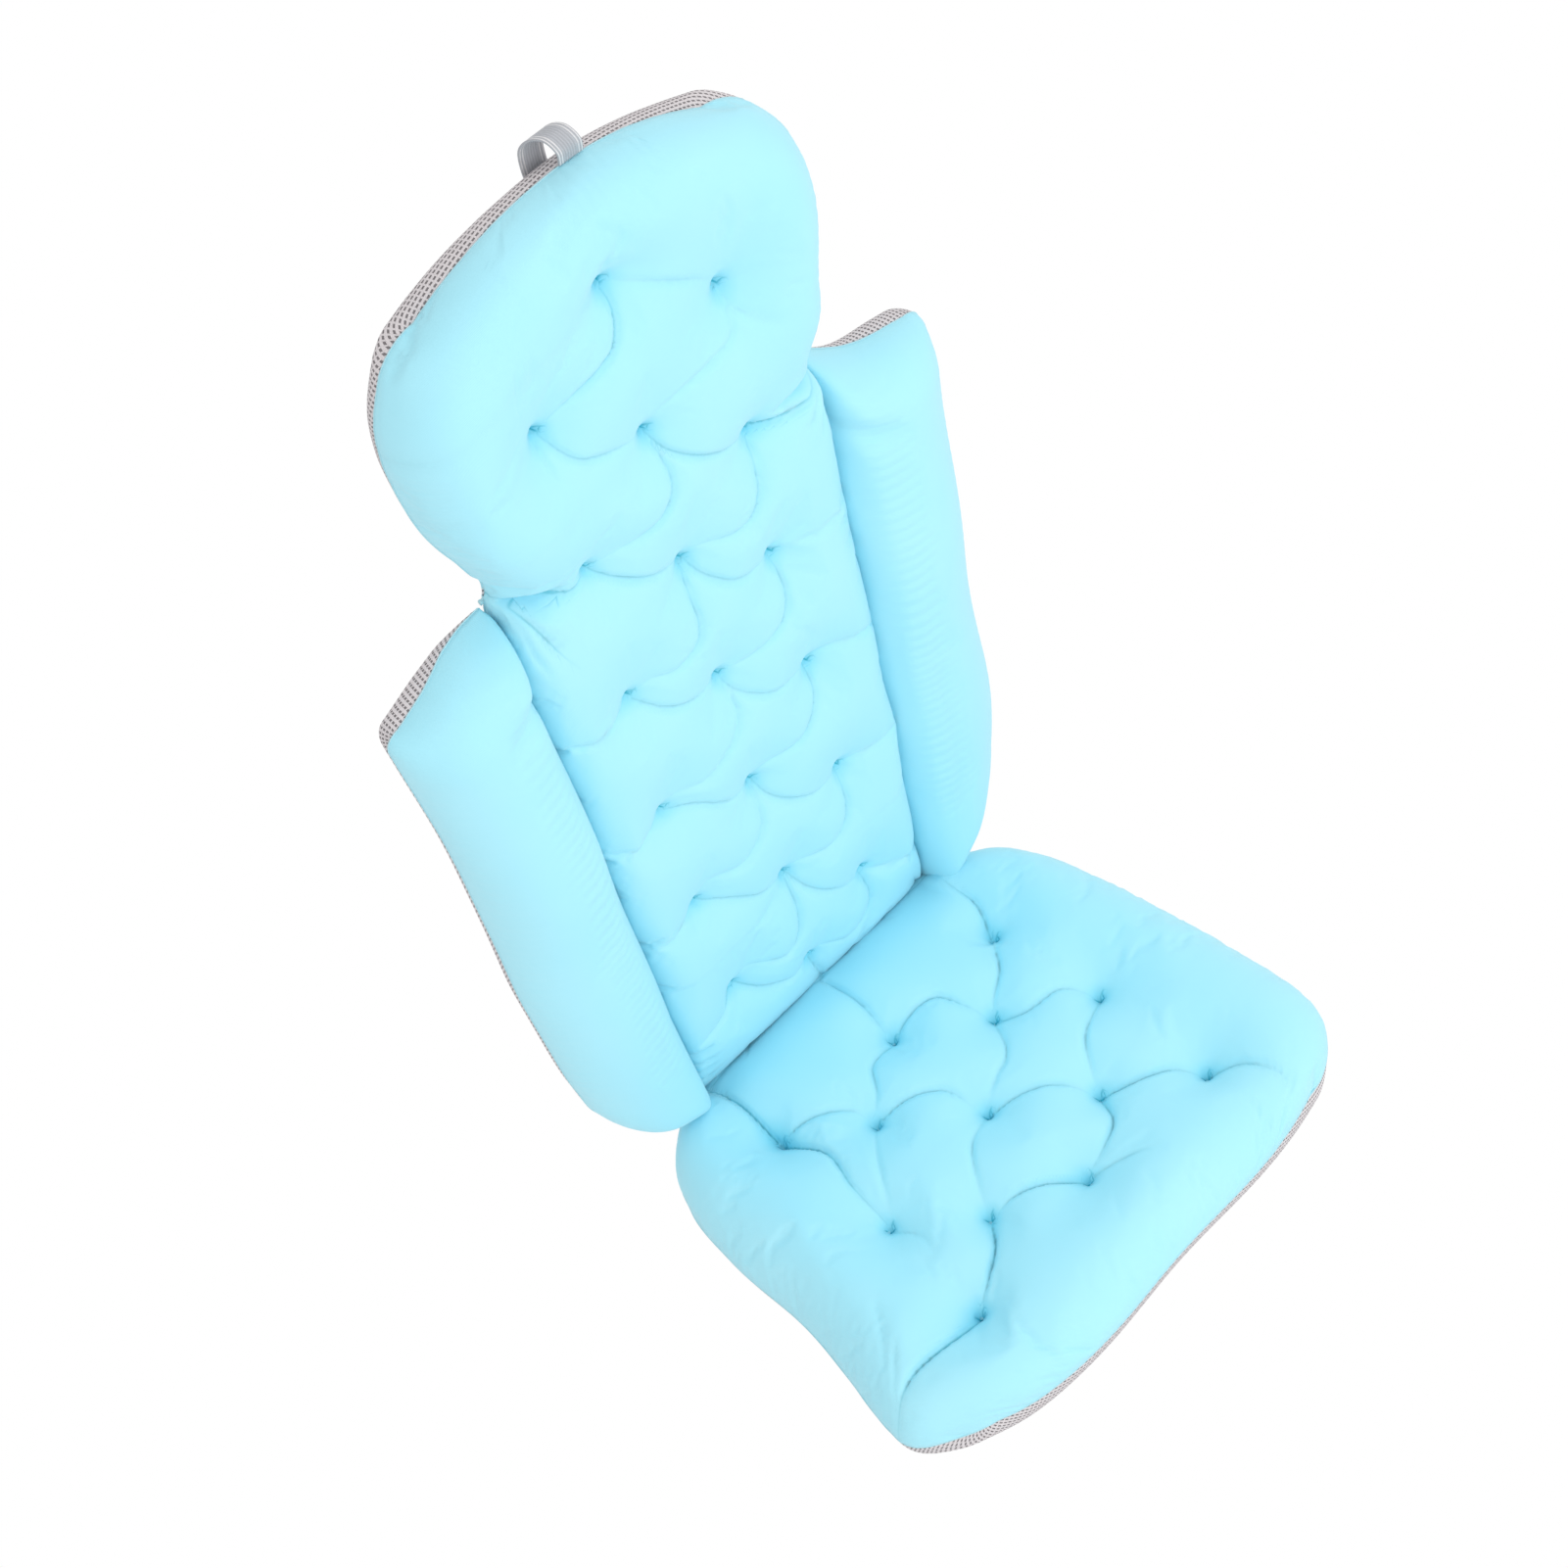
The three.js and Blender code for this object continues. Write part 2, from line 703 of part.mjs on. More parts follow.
function crossSeam(halfWidth, along, name) {
  const reach = halfWidth - seamEndRoom;
  return seam(
    new THREE.Vector3(-reach, along, seamAxisHeight),
    new THREE.Vector3(reach, along, seamAxisHeight),
    name,
  );
}

const head = hung(
  [layers(headPanel(), "head"), cups(headCupShares, headHalfWidth, headLength, "head"), hangingLoop()],
  new THREE.Vector3(0, backLength, seamAxisHeight),
  new THREE.Euler(0, 0, 0),
);

const back = hung(
  [
    layers(backPanel(), "back"),
    cups(backCupShares, neckHalfWidth, backLength, "back"),
    wingSeam(-1),
    wingSeam(1),
    wing(-1),
    wing(1),
    crossSeam(neckHalfWidth, backLength, "neck_seam"),
    head,
  ],
  new THREE.Vector3(0, 0, seamAxisHeight),
  new THREE.Euler(THREE.MathUtils.degToRad(180 - seatToBackAngle), 0, 0),
);

const seat = new THREE.Group();
seat.rotation.z = Math.PI;
seat.add(
  layers(seatPanel(), "seat"),
  cups(seatCupShares, seatHalfWidth, seatLength, "seat"),
  crossSeam(hingeHalfWidth, 0, "seat_seam"),
);

// The origin is under the middle of the whole pillow, on the surface that it stands on.
const pillow = new THREE.Group();
pillow.add(seat, back);
pillow.updateMatrixWorld(true);
const extent = new THREE.Box3().setFromObject(pillow);
const middle = extent.getCenter(new THREE.Vector3());
pillow.position.set(0, -middle.y, -extent.min.z);

const part = new THREE.Group();
part.add(pillow);
export default part;
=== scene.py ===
import math

import bpy
import numpy as np
from mathutils import Matrix, Vector


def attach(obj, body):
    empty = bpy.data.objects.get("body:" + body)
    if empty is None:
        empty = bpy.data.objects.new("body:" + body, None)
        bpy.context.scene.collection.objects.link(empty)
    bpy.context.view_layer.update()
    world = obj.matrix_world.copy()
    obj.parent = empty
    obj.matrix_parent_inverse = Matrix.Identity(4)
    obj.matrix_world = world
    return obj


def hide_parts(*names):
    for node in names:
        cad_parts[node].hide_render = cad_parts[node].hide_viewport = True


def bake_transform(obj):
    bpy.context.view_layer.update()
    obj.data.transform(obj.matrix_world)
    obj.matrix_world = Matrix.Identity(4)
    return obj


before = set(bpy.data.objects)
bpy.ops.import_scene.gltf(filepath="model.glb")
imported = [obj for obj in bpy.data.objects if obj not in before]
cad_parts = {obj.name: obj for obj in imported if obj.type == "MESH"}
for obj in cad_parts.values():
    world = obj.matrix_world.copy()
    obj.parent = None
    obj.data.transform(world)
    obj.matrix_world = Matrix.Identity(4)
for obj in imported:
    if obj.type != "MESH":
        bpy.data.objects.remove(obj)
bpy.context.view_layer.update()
MM = 0.001

# The camera of the photograph
CAMERA_PLACE = (-0.59568, -0.90154, 1.82078)
CAMERA_RIGHT = (0.69709284, -0.68978887, -0.19558347)
CAMERA_UP = (0.64372193, 0.48200582, 0.59438411)
CAMERA_BACK = (-0.31572717, -0.54024227, 0.78003503)
LENS = 62.74
DARK_WAY = (-0.45, 0.56, 0.70)

# The panels, in millimetres as in the CAD source
HINGE_Y = 199.053
FLOOR_Z = 12.0
AXIS_HEIGHT = 2.4
SEAT_TO_BACK = 88
HINGE_HALF = 126
NECK_HALF = 136
BACK_LENGTH = 611
SEAT_HALF = 226
SEAT_LENGTH = 409
SEAT_BOW = 18
HEAD_HALF = 159
HEAD_LENGTH = 256
HEAD_BOW = 26
WING_WIDTH = 89
WING_TOP_DROP = 26
WING_FOOT_RISE = 58
WING_FOOT_START = 14
SEAT_CROWN = 66
HEAD_CROWN = 72
WING_CROWN = 62
TUFT_HEIGHT = 30
EDGE_ROLL = 60
HEAD_ROLL = 68
WING_ROLL = 42
BACK_SPACING = 72
BACK_FIRST = 64.4
BACK_GAPS = 9
HEAD_GAPS = 3
SEAT_SPACING = 62
SEAT_FIRST = 113
SEAT_PITCH = 53
SEAT_GAPS = 4
SEAM_EDGE = 2.35
SEAM_RIM = 4.2
FREE_RIM = 18
RIM_RISE = 64
MESH_CORNER = 11
MESH_THICK = 2.6
CLOSING = 0.6  # degrees left open between seat and back
SEAT_FIELD = 52
BACK_FIELD = 46
HEAD_FIELD = 50
BACK_ROLL = 36
HINGE_REACH = 33
HINGE_THICK = 34
HINGE_RUN = 84
WING_CLOSING = 0.6  # millimetres left open between back and wing
SEAM_ROLL = 32
BACK_PITCH = (BACK_LENGTH - BACK_FIRST) / BACK_GAPS
SEAM_LEAN = math.atan2(NECK_HALF - HINGE_HALF, BACK_LENGTH)
WING_SEAM = math.hypot(BACK_LENGTH, NECK_HALF - HINGE_HALF)
SEAT_SIDE = [(0, .56), (.03, .585), (.06, .635), (.1, .725), (.15, .815), (.23, .885), (.37, .93),
             (.54, .955), (.7, .985), (.82, 1), (.92, .985), (1, .95)]
HEAD_SIDE = [(0, .83), (.14, .86), (.32, .925), (.54, .99), (.7, 1), (.83, .965), (.92, .895), (1, .82)]
WING_SIDE = [(0, .7), (.03, .8), (.08, .92), (.15, .98), (.4, 1), (.7, 1.02), (1, 1.06)]
SEAT_CORNER = 46
HEAD_CORNER = 20
WING_CORNER = 12
CREASE_WIDTH = 0.75
LOOP_SHIFT = 13
LOOP_WIDTH = 18

# How the fabric is drawn, blown up and sewn
UPPER_LENGTH = BACK_LENGTH + HEAD_LENGTH
FOLD_SLOPE = math.tan(math.radians((SEAT_TO_BACK - CLOSING) / 2))
FIELD_FADE = 1.3
# Crease depth in millimetres that gives full painted shade in the fabric's colour
DIP_SHADE_DEPTH = 14
CREASE_BOTTOM = 1.5
# Colour multiplied in along crease, seam and stitch lines: painted shade
CREASE_SHADE_COLOUR = (0.12, 0.55, 0.60, 1)
CREASE_SHADE_MOST = 0.8
LINE_REACH = 6
COVER_FLOOR = 3.4
COVER_SLACK = 0.012
BLOWN_FRAMES = 20
BLOWN_MOST = 12
CLOTH = dict(
    quality=6, mass=0.2, air_damping=2.0, tension_stiffness=12, compression_stiffness=12, shear_stiffness=6,
    bending_stiffness=0.4, tension_damping=8, compression_damping=8, shear_damping=8, use_pressure=True,
    uniform_pressure_force=4.0,
)
TRAY_LEAD = 6
RIM_SEAM_STEP = 0.0004
RIM_SEAM = (0.00062, 8, 0.16, 1.7)  # radius in metres, sides, ribs' share of it, and their pitch
FOLD_SEAM = (0.00185, 12, 0.09, 3.2)
NECK_LIFT = 3.4
NECK_STITCH = 70
NECK_LIFT_RUN = 9
SEAM_END = 7
TUBE_LEAN = np.array([0.13, 0.31, 0.94])
STITCH_STEPS = 7
STITCH_SIDES = 6
TUFT_APART = 0.45
TUFT_OVER = 0.25
TUFT_UNDER = 2.6
FACE_TUFT = (1.5, 0.42, 0.3)  # half the length, the radius and the lift of a stitch
MESH_TUFT = (2.4, 0.45, -0.5)
TRAY_PULL = 3.0
TRAY_PULL_RUN = 9
TRAY_UNEVEN = 0.28
PUCKER_KNOTS = 4000
SEAT_TICK = (-0.78, 0.62)
UPPER_TICK = (0.71, -0.7)

# The hanging loop, as places out from the top seam and up from the mesh, and how its tail is sewn down
LOOP_PATH = [(1.1, 19), (10, 19.4), (17.6, 14), (16.6, 5.6), (8.5, -1.2), (-7, -3), (-21, -1.7), (-37, -1.3)]
LOOP_THICK = 1.5
LOOP_LEAN = 0.5
LOOP_DROP = 20.5
LOOP_PITCH = 2.4
LOOP_UNDER = -2.55
SEWING_RADIUS = 0.3
LOOP_SEWING = [
    (-16, -34, -7, -7), (-34, -34, -7, 7), (-34, -16, 7, 7), (-16, -16, 7, -7), (-16, -34, -7, 7),
    (-16, -34, 7, -7),
]

# The cups and patches, as radius and height from the middle of the mesh's floor
CUP_PROFILE = [
    (0, -7), (4, -7.1), (8, -7.6), (12, -8.8), (16, -10.4), (18.4, -11.5), (19.2, -12), (21.6, -12),
    (22, -11.7), (21.8, -11.2), (20, -10.3), (16.5, -8.6), (13, -7), (10.5, -5.9), (8, -5.2), (6, -4.75),
    (4.9, -4.3), (4.3, -3.7), (4, -3), (4, -2.7), (4.6, -2.55), (7.4, -2.5), (8, -2.1), (8, -0.8),
    (7.5, -0.4), (0, -0.35),
]
PATCH_PROFILE = [
    (4.35, -3.1), (4.5, -3.75), (5, -3.9), (8.9, -3.9), (9.8, -3.65), (11, -2.9), (12.3, -1.9),
    (13.2, -1.45), (14.6, -1.35), (15.2, -1.2), (15.35, -0.85), (15.2, -0.45), (14.5, -0.35), (8.5, -0.35),
    (8.35, -0.5), (8.35, -2.7), (8.2, -2.9), (4.5, -2.9),
]
PATCH_STITCHES = 26
PATCH_SEWING = 14.0
PATCH_UNDER = -1.35

# Lamps: place and target in metres, size in metres, power in watts
LAMPS = (
    ("key", (0.35, -2.5, 0.75), (0, 0, 0.45), 1.2, 3.3),
    ("seat_light", (0.1, -0.95, 1.0), (0, -0.02, 0.05), 0.7, 2.2),
)

# Where the face is stitched through to the mesh, across and along its panel
SEAT_STITCHES = [
    (119, 112), (1, 118), (-116, 117), (63, 161), (-61, 167), (121, 229), (3, 220), (-124, 218),
    (66, 280), (-61, 275), (126, 327), (-3, 319), (-123, 327),
]
UPPER_STITCHES = [
    (0, 74), (-71, 124), (68, 118), (0, 191), (-77, 246), (71, 249), (-3, 313), (-77, 361), (69, 375),
    (-3, 435), (-72, 484), (64, 498), (-3, 555), (-70, 610), (70, 610), (-2, 675), (-74, 735), (73, 734),
    (-4, 797),
]

# Creases between the stitches and from the seams: places across and along, depth, width
SEAT_CREASES = [
    ([(122, 29), (117, 67), (118, 111), (106, 152), (116, 190), (120, 234)], 7, 6),
    ([(-111, 120), (-128, 89), (-128, 59), (-129, 39)], 5, 4),
    ([(-109, 124), (-94, 144), (-73, 157), (-60, 168)], 4, 4),
    ([(-4, 40), (-5, 81), (3, 121)], 4.5, 4),
    ([(3, 121), (-18, 116), (-44, 122), (-54, 145), (-60, 168)], 4.5, 4),
    ([(-60, 168), (-79, 186), (-109, 194), (-124, 218)], 4, 4),
    ([(118, 111), (89, 123), (68, 140), (63, 159)], 4, 4),
    ([(3, 121), (29, 126), (44, 145), (63, 159)], 4, 4),
    ([(63, 159), (34, 168), (11, 186), (5, 220)], 4, 4),
    ([(-60, 168), (-42, 200), (-16, 210), (5, 220)], 3, 4),
    ([(5, 220), (-24, 232), (-47, 250), (-61, 276)], 4, 4),
    ([(-123, 219), (-89, 237), (-72, 258), (-61, 276)], 3.5, 4),
    ([(-61, 276), (-85, 292), (-108, 306), (-123, 327)], 5, 4.5),
    ([(-61, 276), (-49, 302), (-25, 313), (-4, 317)], 5, 4.5),
    ([(-3, 318), (22, 297), (47, 285), (68, 284)], 5, 4.5),
    ([(7, 221), (32, 233), (53, 258), (68, 284)], 3, 4),
    ([(68, 284), (86, 305), (126, 327)], 6, 5),
    ([(127, 328), (161, 331), (195, 336), (224, 350)], 7, 7),
    ([(-4, 317), (-29, 333), (-50, 352)], 3, 3.5),
    ([(-123, 327), (-143, 346), (-154, 374)], 3.5, 4),
    ([(63, 159), (86, 187), (120, 234)], 2, 4),
    ([(120, 234), (113, 251), (115, 270)], 2.5, 3.5),
    ([(176, 272), (195, 304), (217, 332)], 2, 4),
    ([(186, 306), (204, 329), (222, 348)], 2.5, 3),
]
UPPER_CREASES = [
    ([(-3, 560), (-7, 532), (-12, 493), (-36, 482), (-56, 489), (-72, 481)], 4, 4),
    ([(-3, 560), (8, 533), (32, 508), (62, 500)], 4, 4),
    ([(-72, 481), (-50, 454), (-24, 439), (-4, 439)], 4, 4),
    ([(62, 500), (64, 467), (53, 443), (25, 436), (-4, 439)], 4, 4),
    ([(-4, 439), (6, 412), (33, 387), (68, 379)], 3.5, 4),
    ([(-4, 439), (-2, 392), (-38, 366), (-68, 372), (-79, 358)], 3, 4),
    ([(-79, 358), (-53, 346), (-25, 320), (-3, 317)], 4, 4),
    ([(68, 379), (64, 344), (41, 322), (9, 325), (-3, 317)], 4, 4),
    ([(-3, 317), (9, 285), (40, 256), (70, 250)], 4, 4),
    ([(-3, 317), (-9, 274), (-36, 255), (-66, 265), (-79, 246)], 3, 4),
    ([(-79, 246), (-50, 224), (-23, 201), (1, 193)], 4, 4),
    ([(70, 250), (65, 207), (44, 188), (12, 198), (1, 193)], 4, 4),
    ([(1, 193), (16, 158), (44, 126), (66, 115)], 4, 4),
    ([(1, 193), (-3, 136), (-23, 115), (-58, 140), (-70, 124)], 4, 4),
    ([(-70, 124), (-48, 95), (-19, 75), (0, 79)], 4.5, 3.5),
    ([(66, 115), (68, 78), (45, 59), (13, 80), (0, 79)], 4.5, 3.5),
    ([(-70, 124), (-91, 106), (-116, 103)], 4, 4),
    ([(68, 379), (91, 379), (132, 363)], 3, 4),
    ([(70, 250), (99, 248), (130, 246)], 3, 4),
    ([(66, 115), (97, 100), (134, 83)], 3, 4),
    ([(-72, 481), (-96, 477), (-127, 490)], 3, 5),
    ([(-79, 358), (-102, 356), (-123, 364)], 3, 5),
    ([(-79, 246), (-99, 241), (-124, 241)], 3, 5),
    ([(0, 79), (3, 59), (9, 30)], 4, 3),
    ([(-4, 798), (-3, 776), (-12, 758), (-29, 751), (-58, 745), (-74, 735)], 5, 5),
    ([(-74, 735), (-56, 704), (-25, 686), (-2, 676)], 4, 5),
    ([(73, 733), (70, 701), (37, 695), (9, 689), (-2, 676)], 3, 6),
    ([(-4, 798), (24, 780), (55, 757), (73, 735)], 3, 8),
    ([(-2, 676), (9, 650), (39, 623), (69, 610)], 4.5, 4.5),
    ([(69, 610), (94, 602), (118, 601), (138, 612)], 6, 5),
    ([(73, 733), (80, 711), (101, 686)], 3, 6),
    ([(-74, 735), (-75, 717), (-71, 694)], 3, 5),
    ([(-2, 676), (2, 634), (-15, 613), (-51, 613), (-70, 609)], 4, 4.5),
    ([(-70, 609), (-50, 586), (-23, 566), (-3, 560)], 4.5, 4),
    ([(69, 610), (63, 566), (44, 549), (10, 561), (-3, 560)], 4, 4),
    ([(69, 610), (68, 574), (56, 541)], 3, 3),
    ([(-137, 613), (-118, 611), (-100, 608), (-85, 604), (-70, 609)], 8, 5),
    ([(139, 600), (121, 576), (114, 570)], 3, 3),
    ([(-131, 612), (-116, 588), (-106, 560)], 5, 3.5),
    ([(-131, 606), (-127, 585), (-122, 562)], 3, 3.5),
    ([(-124, 620), (-98, 585)], 3, 3),
    ([(131, 606), (112, 585), (106, 556)], 3, 3.5),
    ([(121, 28), (112, 52), (104, 70)], 3, 3.5),
    ([(-127, 44), (-118, 46), (-108, 52)], 3.6, 2.2),
    ([(-127, 56), (-117, 60), (-109, 66)], 3.6, 2.2),
    ([(-127, 70), (-116, 72), (-105, 76)], 3.6, 2.2),
    ([(-127, 84), (-117, 88), (-108, 94)], 3.4, 2.2),
]


# Small sums
def clamp(x):
    return np.clip(x, 0, 1)


def smooth(x, a, b):
    t = clamp((x - a) / (b - a))
    return t * t * (3 - 2 * t)


def mix(a, b, t):
    return a + (b - a) * t


def roll(distance, radius, power=2):
    """A rounded edge: 0 at the rim, 1 a radius in from it; a higher power stands up straighter."""
    return np.maximum(1 - (1 - clamp(distance / radius)) ** power, 0) ** (1 / power)


def plump(distance, radius):
    """A free edge, that swells a little further in than a plain round does."""
    return np.sqrt(np.maximum(1 - (1 - clamp(distance / (1.32 * radius))) ** 2.8, 0))


def softer(a, b, hard=5):
    low = np.maximum(np.minimum(a, b), 0)
    high = np.maximum(np.maximum(a, b), 1e-9)
    return low / (1 + (low / high) ** hard) ** (1 / hard)


def through(table):
    """A smooth curve through a short table of places and values."""
    xs = np.array([row[0] for row in table], float)
    ys = np.array([row[1] for row in table], float)
    slopes = np.gradient(ys, xs)

    def at(x):
        x = np.asarray(x, float)
        k = np.clip(np.searchsorted(xs, x, side="right") - 1, 0, len(xs) - 2)
        h = xs[k + 1] - xs[k]
        t = (x - xs[k]) / h
        a = (1 + 2 * t) * (1 - t) ** 2 * ys[k] + t * (1 - t) ** 2 * h * slopes[k]
        return a + t * t * (3 - 2 * t) * ys[k + 1] + t * t * (t - 1) * h * slopes[k + 1]

    return at


def waves(x, y, seed, size, count=7):
    """Gentle unevenness between about -1 and 1, from a few seeded plane waves."""
    rng = np.random.default_rng(seed)
    total = np.zeros_like(x, dtype=float)
    for _ in range(count):
        angle, phase = rng.uniform(0, 2 * math.pi, 2)
        length = size * rng.uniform(0.7, 1.5)
        total += np.sin(2 * math.pi * (x * math.cos(angle) + y * math.sin(angle)) / length + phase)
    return total / math.sqrt(count) / 1.2


def unit(v):
    return v / np.maximum(np.linalg.norm(v, axis=-1, keepdims=True), 1e-12)


def run_along(path):
    """The length from the start of a path to each of its places."""
    return np.concatenate([[0], np.cumsum(np.linalg.norm(np.diff(path, axis=0), axis=1))])


# Quilting
def dimples(x, v, stitches):
    """How far each stitch pulls the fabric down round it: 1 at the stitch."""
    kept = np.ones(x.shape)
    for across, along in stitches:
        away = np.hypot(x - across, 0.9 * (v - along))
        kept *= 1 - 0.6 * np.exp(-away / 6) - 0.4 * np.exp(-((away / 25) ** 2))
    return 1 - kept


def seat_rim(v):
    """The height of the seam between cover and mesh; it stands higher along the front."""
    return mix(SEAM_RIM, FREE_RIM + 6 * smooth(v, 200, 390), smooth(v, SEAM_EDGE, RIM_RISE))


def upper_rim(x, v):
    low = 4.5 * smooth(-x, 60, 140)
    return mix(SEAM_RIM, FREE_RIM - low, smooth(v, BACK_LENGTH, BACK_LENGTH + RIM_RISE))


def wing_rim(x, v):
    foot = np.minimum(x, v / 2)
    high = 5 * smooth(x, 40, 80) * fading(v, 260, 160)
    return mix(SEAM_RIM, FREE_RIM + high, smooth(foot, SEAM_EDGE, RIM_RISE))


def shelf(distance, crown, start, run):
    """The height that a panel climbs to from the fold, where it is sewn through."""
    return start + (crown - start) * np.sin(clamp((distance - HINGE_REACH) / run) * math.pi / 2)


def steps_of(roll_radius, count):
    angle = np.linspace(0, math.pi / 2, count + 1)
    return roll_radius * (1 - np.cos(angle))


def seam_steps(radius, count):
    """Closer steps near a seam, where the cover stands up steeply."""
    angle = np.linspace(0, 1, count + 1) ** 1.6 * math.pi / 2
    return radius * (1 - np.sqrt(np.maximum(np.cos(angle), 0)))


def both_sides(width, radius, edge_count, middle_count, straight=0.0):
    edge = mix(steps_of(radius, edge_count), seam_steps(radius, edge_count), straight)
    middle = np.linspace(-width + radius, width - radius, middle_count + 1)[1:-1]
    return np.concatenate([-width + edge, middle, (width - edge)[::-1]])


def grid_points(width_at, near_at, far_at, ts, columns_at):
    xs = np.array([columns_at(width_at(t), t) for t in ts])
    widths = np.array([float(width_at(t)) for t in ts])[:, None]
    s = xs / widths
    near, far = near_at(s), far_at(s)
    v = near + (far - near) * np.asarray(ts)[:, None]
    return xs, v, s, widths


def bowed(corner, bow):
    return lambda s: corner + bow * (1 - np.abs(s) ** 2.6)


def rounded(t, length, radius):
    """How far a side draws in round the corner at the end of a panel of this length."""
    q = np.clip((np.asarray(t) * length - (length - radius)) / radius, 0, 1)
    return radius * (1 - np.sqrt(np.maximum(1 - q * q, 0)))


def seat_width(t):
    return float(through(SEAT_SIDE)(t)) * SEAT_HALF - float(rounded(t, SEAT_LENGTH, SEAT_CORNER))


def upper_width(t):
    """Half the width of the back, and on from the neck of the headrest."""
    neck = BACK_LENGTH / UPPER_LENGTH
    if t < neck:
        return mix(HINGE_HALF, NECK_HALF, t / neck) - SEAM_EDGE
    share = (t - neck) / (1 - neck)
    return float(through(HEAD_SIDE)(share)) * HEAD_HALF - float(rounded(share, HEAD_LENGTH, HEAD_CORNER))


def wing_width(t):
    return float(through(WING_SIDE)(t)) * WING_WIDTH - float(rounded(t, WING_SEAM, WING_CORNER))


def straight_edge(s):
    return SEAM_EDGE + 0 * s


def wing_near(s):
    return WING_FOOT_START + WING_FOOT_RISE * np.maximum(s, 0) ** 1.5


def wing_far(s):
    return WING_SEAM - SEAM_EDGE - WING_TOP_DROP * s


seat_far = bowed(SEAT_LENGTH - SEAT_BOW, SEAT_BOW)
upper_far = bowed(UPPER_LENGTH - HEAD_BOW, HEAD_BOW)


def fading(x, limit, run):
    return 1 - smooth(x, limit, limit + run)


def wall(distance, rim):
    """How high the padding may stand beside the fold before it meets the other panel."""
    return np.maximum(distance * FOLD_SLOPE - (rim - SEAM_RIM), 0)


def seat_cover_points():
    tail = 1 - steps_of(EDGE_ROLL, 28)[::-1] / SEAT_LENGTH
    ts = np.concatenate([np.linspace(0, tail[0], 195)[:-1], tail])
    x, v, s, width = grid_points(
        seat_width, straight_edge, seat_far, ts, lambda w, t: both_sides(w, EDGE_ROLL, 28, 160)
    )
    rim = seat_rim(v)
    across, along = x / SEAT_SPACING, (v - SEAT_FIRST) / SEAT_PITCH
    dip = dimples(x, v, SEAT_STITCHES)
    edge = plump(width - np.abs(x), EDGE_ROLL) * plump(seat_far(s) - v, EDGE_ROLL)
    field = fading(np.abs(across), 1.9, 1.2) * fading(along, SEAT_GAPS - 0.2, FIELD_FADE)
    crown = mix(SEAT_CROWN, SEAT_FIELD, field)
    puffed = (crown - rim - (crown - TUFT_HEIGHT) * dip) * edge
    low = shelf(v, SEAT_CROWN, HINGE_THICK, HINGE_RUN) - rim
    low = mix(low, 2 * SEAT_CROWN, smooth(np.abs(x), 0.92 * HINGE_HALF, 1.25 * HINGE_HALF))
    rise = softer(softer(puffed, low, 9), wall(v - SEAM_EDGE, rim), 9)
    # The second value is a mask of painted shade: the fabric is coloured darker in the dips round the
    # stitches
    return np.stack([x, v, rim + rise], -1), dip * edge


def bulged(rise, inward, reach):
    """How far a cover bulges out over its side seam until it meets the one beside it."""
    return (SEAM_EDGE - WING_CLOSING) * smooth(rise, 1, 11) * fading(inward, 0, reach)


def upper_cover_points():
    """One cover for the back and the headrest."""
    neck_t = BACK_LENGTH / UPPER_LENGTH
    tail = 1 - steps_of(HEAD_ROLL, 32)[::-1] / UPPER_LENGTH
    ts = np.concatenate([np.linspace(0, neck_t, 321)[:-1], np.linspace(neck_t, tail[0], 101)[:-1], tail])
    ts = np.unique(ts)
    if len(ts) % 2 == 0:
        ts = np.delete(ts, 1)

    def columns(w, t):
        free = float(smooth(np.float64(t * UPPER_LENGTH), BACK_LENGTH - 12, BACK_LENGTH + 60))
        return both_sides(w, mix(BACK_ROLL, HEAD_ROLL, free), 28, 92, 1 - free)

    x, v, s, width = grid_points(upper_width, straight_edge, upper_far, ts, columns)
    # Near the neck the rows run straight across, because the bow of the top belongs to the head alone.
    straight = SEAM_EDGE + (UPPER_LENGTH - SEAM_EDGE) * np.asarray(ts)[:, None]
    v = mix(straight + 0 * v, v, smooth(straight, BACK_LENGTH, UPPER_LENGTH))
    head = smooth(v, BACK_LENGTH - 12, BACK_LENGTH + 24)
    rim = upper_rim(x, v)
    across, along = x / BACK_SPACING, (v - BACK_FIRST) / BACK_PITCH
    field = fading(np.abs(across), 0.9, 1.1) * fading(along, BACK_GAPS + HEAD_GAPS - 0.2, FIELD_FADE)
    crown = mix(BACK_FIELD + 4, HEAD_CROWN, smooth(v, BACK_LENGTH - 10, BACK_LENGTH + 70))
    crown = mix(crown, mix(BACK_FIELD, HEAD_FIELD, head), field)
    dip = dimples(x, v, UPPER_STITCHES)
    inward = width - np.abs(x)
    edge = mix(roll(inward, BACK_ROLL, 4), plump(inward, HEAD_ROLL), head)
    edge = edge * plump(upper_far(s) - v, HEAD_ROLL)
    # The neck is drawn in only at its two corners.
    corner = (1 - roll(np.abs(v - BACK_LENGTH), 15)) * fading(inward, 4, 46)
    edge = edge * (1 - 0.8 * corner)
    puffed = (crown - rim - (crown - TUFT_HEIGHT) * dip) * edge
    low = shelf(v, BACK_FIELD + 6, HINGE_THICK, 1.5 * HINGE_RUN) - rim
    low = mix(low, 1e3, smooth(v, 0.3 * BACK_LENGTH, 0.4 * BACK_LENGTH))
    rise = softer(softer(puffed, low, 9), wall(v - SEAM_EDGE, rim), 9)
    x = x + np.sign(x) * bulged(rise, inward, BACK_ROLL) * fading(v, BACK_LENGTH - 30, 26)
    # The second value is a mask of painted shade: the fabric is coloured darker in the dips round the
    # stitches
    return np.stack([x, v, rim + rise], -1), dip * edge


